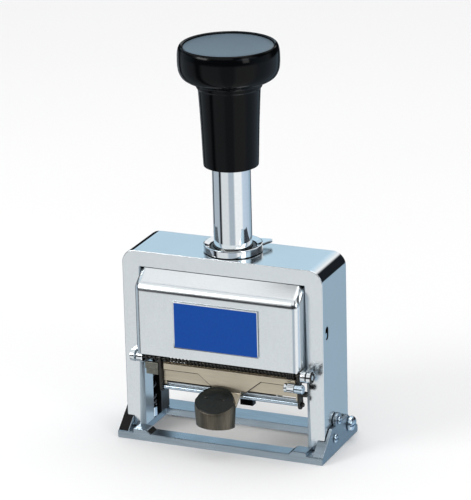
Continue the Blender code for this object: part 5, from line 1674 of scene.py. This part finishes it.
# Each lamp: its place, width and height
LAMPS = {
    "key": ((-0.75, -0.85, 0.62), 0.55, 0.35),
    "fill": ((1.05, -0.55, 0.45), 0.3, 0.6),
    "top": ((0.1, 0.25, 1.3), 0.9, 0.7),
}
LAMP_AIM = (0, 0, 0.08)
CAMERA_AIM = Vector((0.00092, 0, 0.0772))
FLOOR_WIDTH = 6
SENSOR_WIDTH = 36
NEAR_LIMIT = 0.05
FAR_LIMIT = 20
FLOOR_TONES = ((0.3, (0.94, 0.94, 0.945)), (0.7, (0.955, 0.955, 0.955)))


def build_world(stage):
    """Plain white for the camera, an even sky for matt surfaces, and pale and dark cards for gloss."""
    world = bpy.data.worlds.new("studio")
    bpy.context.scene.world = world
    world.use_nodes = True
    tree = world.node_tree
    tree.nodes.clear()
    wire = tree.links.new
    out = put(tree, "ShaderNodeOutputWorld")
    path = put(tree, "ShaderNodeLightPath")
    heading = put(tree, "ShaderNodeTexCoord")
    split = put(tree, "ShaderNodeSeparateXYZ")
    wire(heading.outputs["Generated"], split.inputs["Vector"])
    turn = put(tree, "ShaderNodeMapping", {"Rotation": (0, 0, math.pi / 2 - stage.azimuth)})
    wire(heading.outputs["Generated"], turn.inputs["Vector"])
    around = put(tree, "ShaderNodeTexGradient", gradient_type="RADIAL")
    wire(turn.outputs["Vector"], around.inputs["Vector"])
    cards = None
    for low, high, stretches in CARD_RINGS:
        ring = put(tree, "ShaderNodeValToRGB")
        stops = [(edge, colour) for first, last, colour in stretches for edge in sorted({first, last})]
        set_ramp(ring, [(0.5 + edge / 360, colour) for edge, colour in stops])
        wire(around.outputs["Fac"], ring.inputs["Fac"])
        if cards is None:
            cards = ring.outputs["Color"]
            continue
        above = put(tree, "ShaderNodeMapRange", {"From Min": low, "From Max": high})
        wire(split.outputs["Z"], above.inputs["Value"])
        both = put(tree, "ShaderNodeMix", data_type="RGBA")
        wire(above.outputs["Result"], both.inputs["Factor"])
        wire(cards, both.inputs[6])
        wire(ring.outputs["Color"], both.inputs[7])
        cards = both.outputs[2]
    gloss = put(tree, "ShaderNodeBackground", {"Strength": 1.0})
    wire(cards, gloss.inputs["Color"])
    plain = put(tree, "ShaderNodeBackground", {"Color": (1, 1, 1, 1), "Strength": stage.sky_level})
    white = put(tree, "ShaderNodeBackground", {"Color": (1, 1, 1, 1), "Strength": 1.0})
    first = put(tree, "ShaderNodeMixShader")
    wire(path.outputs["Is Glossy Ray"], first.inputs["Fac"])
    wire(plain.outputs["Background"], first.inputs[1])
    wire(gloss.outputs["Background"], first.inputs[2])
    seen = put(tree, "ShaderNodeMath", operation="MAXIMUM")
    wire(path.outputs["Is Camera Ray"], seen.inputs[0])
    wire(path.outputs["Is Transmission Ray"], seen.inputs[1])
    second = put(tree, "ShaderNodeMixShader")
    wire(seen.outputs["Value"], second.inputs["Fac"])
    wire(first.outputs["Shader"], second.inputs[1])
    wire(white.outputs["Background"], second.inputs[2])
    wire(second.outputs["Shader"], out.inputs["Surface"])


def add_lamp(name, place, width, height, power):
    release()
    bpy.ops.object.light_add(type="AREA", location=place)
    lamp = bpy.context.object
    lamp.name = name
    lamp.data.shape = "RECTANGLE"
    lamp.data.size = width
    lamp.data.size_y = height
    lamp.data.energy = power
    lamp.rotation_mode = "QUATERNION"
    lamp.rotation_quaternion = (Vector(place) - Vector(LAMP_AIM)).to_track_quat("Z", "Y")


def build_camera(stage):
    sine, cosine = math.sin(stage.azimuth), math.cos(stage.azimuth)
    level, lift = math.cos(stage.elevation), math.sin(stage.elevation)
    back = Vector((sine * level, -cosine * level, lift))
    flat_right = Vector((cosine, sine, 0))
    flat_up = back.cross(flat_right)
    right = flat_right * math.cos(stage.roll) + flat_up * math.sin(stage.roll)
    up = flat_up * math.cos(stage.roll) - flat_right * math.sin(stage.roll)
    target = HOME + CAMERA_AIM
    release()
    bpy.ops.object.camera_add(location=target + back * stage.distance)
    camera = bpy.context.object
    camera.rotation_mode = "QUATERNION"
    camera.rotation_quaternion = Matrix((right, up, back)).transposed().to_quaternion()
    camera.data.lens = stage.lens
    camera.data.sensor_width = SENSOR_WIDTH
    camera.data.clip_start = NEAR_LIMIT
    camera.data.clip_end = FAR_LIMIT
    bpy.context.scene.camera = camera


def build_stage():
    stage = bpy.context.scene.machine_stage
    build_camera(stage)
    build_world(stage)
    release()
    bpy.ops.mesh.primitive_plane_add(size=FLOOR_WIDTH, location=(0, 0, 0))
    floor = named("floor")
    made = bpy.data.materials.new("pale floor")
    made.use_nodes = True
    tree = made.node_tree
    shader = tree.nodes["Principled BSDF"]
    shader.inputs["Roughness"].default_value = 0.9
    shader.inputs["Specular IOR Level"].default_value = 0.0
    coordinates = put(tree, "ShaderNodeTexCoord")
    noise = put(tree, "ShaderNodeTexNoise", {"Scale": 3.0, "Detail": 2.0})
    tones = put(tree, "ShaderNodeValToRGB")
    set_ramp(tones, FLOOR_TONES)
    tree.links.new(coordinates.outputs["Object"], noise.inputs["Vector"])
    tree.links.new(noise.outputs["Fac"], tones.inputs["Fac"])
    tree.links.new(tones.outputs["Color"], shader.inputs["Base Color"])
    floor.data.materials.append(made)
    floor.visible_glossy = False
    for name, (place, width, height) in LAMPS.items():
        add_lamp(name, place, width, height, getattr(stage, f"{name}_power"))
    view = bpy.context.scene.view_settings
    view.view_transform = "Standard"


# Operators and panel


class MachinePiece:
    bl_options = {"REGISTER", "UNDO"}

    @classmethod
    def poll(cls, context):
        return context.scene is not None


class MACHINE_OT_arch(MachinePiece, bpy.types.Operator):
    """Model the chromed arch"""

    bl_idname = "machine.arch"
    bl_label = "Arch"

    def execute(self, context):
        build_arch()
        return {"FINISHED"}


class MACHINE_OT_hoods(MachinePiece, bpy.types.Operator):
    """Model the front and rear hoods"""

    bl_idname = "machine.hoods"
    bl_label = "Hoods"

    def execute(self, context):
        fold = sizes().hood_fold
        build_hood("front_hood", "front_cover", -1, FRONT_FACE, FRONT_DROP, FRONT_BOTTOM, fold)
        build_hood("rear_hood", "rear_cover", 1, REAR_FACE, REAR_DROP, REAR_BOTTOM, fold * REAR_FOLD_SHARE)
        return {"FINISHED"}


class MACHINE_OT_badge(MachinePiece, bpy.types.Operator):
    """Model the bare blue badge"""

    bl_idname = "machine.badge"
    bl_label = "Badge"

    def execute(self, context):
        build_badge()
        return {"FINISHED"}


class MACHINE_OT_base(MachinePiece, bpy.types.Operator):
    """Model the base frame and its cheek screws"""

    bl_idname = "machine.base"
    bl_label = "Base"

    def execute(self, context):
        build_base()
        return {"FINISHED"}


class MACHINE_OT_collar(MachinePiece, bpy.types.Operator):
    """Model the guide bush and the lock collar"""

    bl_idname = "machine.collar"
    bl_label = "Bush and collar"

    def execute(self, context):
        build_bush_and_collar()
        return {"FINISHED"}


class MACHINE_OT_knob(MachinePiece, bpy.types.Operator):
    """Model the stem, the knob and its cap"""

    bl_idname = "machine.knob"
    bl_label = "Stem and knob"

    def execute(self, context):
        build_stem_and_knob()
        return {"FINISHED"}


class MACHINE_OT_wheels(MachinePiece, bpy.types.Operator):
    """Model the number wheels"""

    bl_idname = "machine.wheels"
    bl_label = "Number wheels"

    def execute(self, context):
        build_wheels()
        return {"FINISHED"}


class MACHINE_OT_springs(MachinePiece, bpy.types.Operator):
    """Wind the springs in the legs"""

    bl_idname = "machine.springs"
    bl_label = "Leg springs"

    def execute(self, context):
        build_springs()
        return {"FINISHED"}


class MACHINE_OT_pivot(MachinePiece, bpy.types.Operator):
    """Model the inker's pivot rod and its coils"""

    bl_idname = "machine.pivot"
    bl_label = "Pivot rod"

    def execute(self, context):
        build_pivot()
        return {"FINISHED"}


class MACHINE_OT_arms(MachinePiece, bpy.types.Operator):
    """Model the inker's arms and cross rod"""

    bl_idname = "machine.arms"
    bl_label = "Swing arms"

    def execute(self, context):
        build_arms()
        return {"FINISHED"}


class MACHINE_OT_tray(MachinePiece, bpy.types.Operator):
    """Model the pad tray and its felt"""

    bl_idname = "machine.tray"
    bl_label = "Tray and pad"

    def execute(self, context):
        build_tray()
        return {"FINISHED"}


class MACHINE_OT_holder(MachinePiece, bpy.types.Operator):
    """Model the pad holder's front, block, nut and catch"""

    bl_idname = "machine.holder"
    bl_label = "Pad holder"

    def execute(self, context):
        build_holder()
        return {"FINISHED"}


class MACHINE_OT_thumb_rest(MachinePiece, bpy.types.Operator):
    """Model the thumb rest"""

    bl_idname = "machine.thumb_rest"
    bl_label = "Thumb rest"

    def execute(self, context):
        build_thumb_rest()
        return {"FINISHED"}


class MACHINE_OT_dial(MachinePiece, bpy.types.Operator):
    """Model the repeat dial and its screw"""

    bl_idname = "machine.dial"
    bl_label = "Repeat dial"

    def execute(self, context):
        build_dial()
        return {"FINISHED"}


class MACHINE_OT_inner_parts(MachinePiece, bpy.types.Operator):
    """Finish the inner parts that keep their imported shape"""

    bl_idname = "machine.inner_parts"
    bl_label = "Inner parts"

    def execute(self, context):
        dress_kept_nodes()
        return {"FINISHED"}


class MACHINE_OT_stage(MachinePiece, bpy.types.Operator):
    """Set the floor, the lamps, the surroundings and the camera"""

    bl_idname = "machine.stage"
    bl_label = "Stage"

    def execute(self, context):
        build_stage()
        return {"FINISHED"}


OPERATORS = (
    MACHINE_OT_arch,
    MACHINE_OT_hoods,
    MACHINE_OT_badge,
    MACHINE_OT_base,
    MACHINE_OT_collar,
    MACHINE_OT_knob,
    MACHINE_OT_wheels,
    MACHINE_OT_springs,
    MACHINE_OT_pivot,
    MACHINE_OT_arms,
    MACHINE_OT_tray,
    MACHINE_OT_holder,
    MACHINE_OT_thumb_rest,
    MACHINE_OT_dial,
    MACHINE_OT_inner_parts,
    MACHINE_OT_stage,
)


class MACHINE_PT_panel(bpy.types.Panel):
    """The machine's pieces, sizes and colours"""

    bl_idname = "MACHINE_PT_panel"
    bl_label = "Numbering machine"
    bl_space_type = "VIEW_3D"
    bl_region_type = "UI"
    bl_category = "Numbering machine"

    def draw(self, context):
        for group in ("machine_sizes", "machine_colours", "machine_stage"):
            box = self.layout.box()
            holder = getattr(context.scene, group)
            for name in holder.__annotations__:
                box.prop(holder, name)
        for operator in OPERATORS:
            self.layout.operator(operator.bl_idname)


GROUPS = {"machine_sizes": MachineSizes, "machine_colours": MachineColours, "machine_stage": MachineStage}
CLASSES = (*GROUPS.values(), *OPERATORS, MACHINE_PT_panel)


def register():
    for each in CLASSES:
        bpy.utils.register_class(each)
    for name, group in GROUPS.items():
        setattr(bpy.types.Scene, name, PointerProperty(type=group))


def unregister():
    for name in GROUPS:
        delattr(bpy.types.Scene, name)
    for each in reversed(CLASSES):
        bpy.utils.unregister_class(each)


def main():
    register()
    for operator in OPERATORS:
        getattr(bpy.ops.machine, operator.bl_idname.split(".")[1])()
    release()


if __name__ == "__main__":
    main()
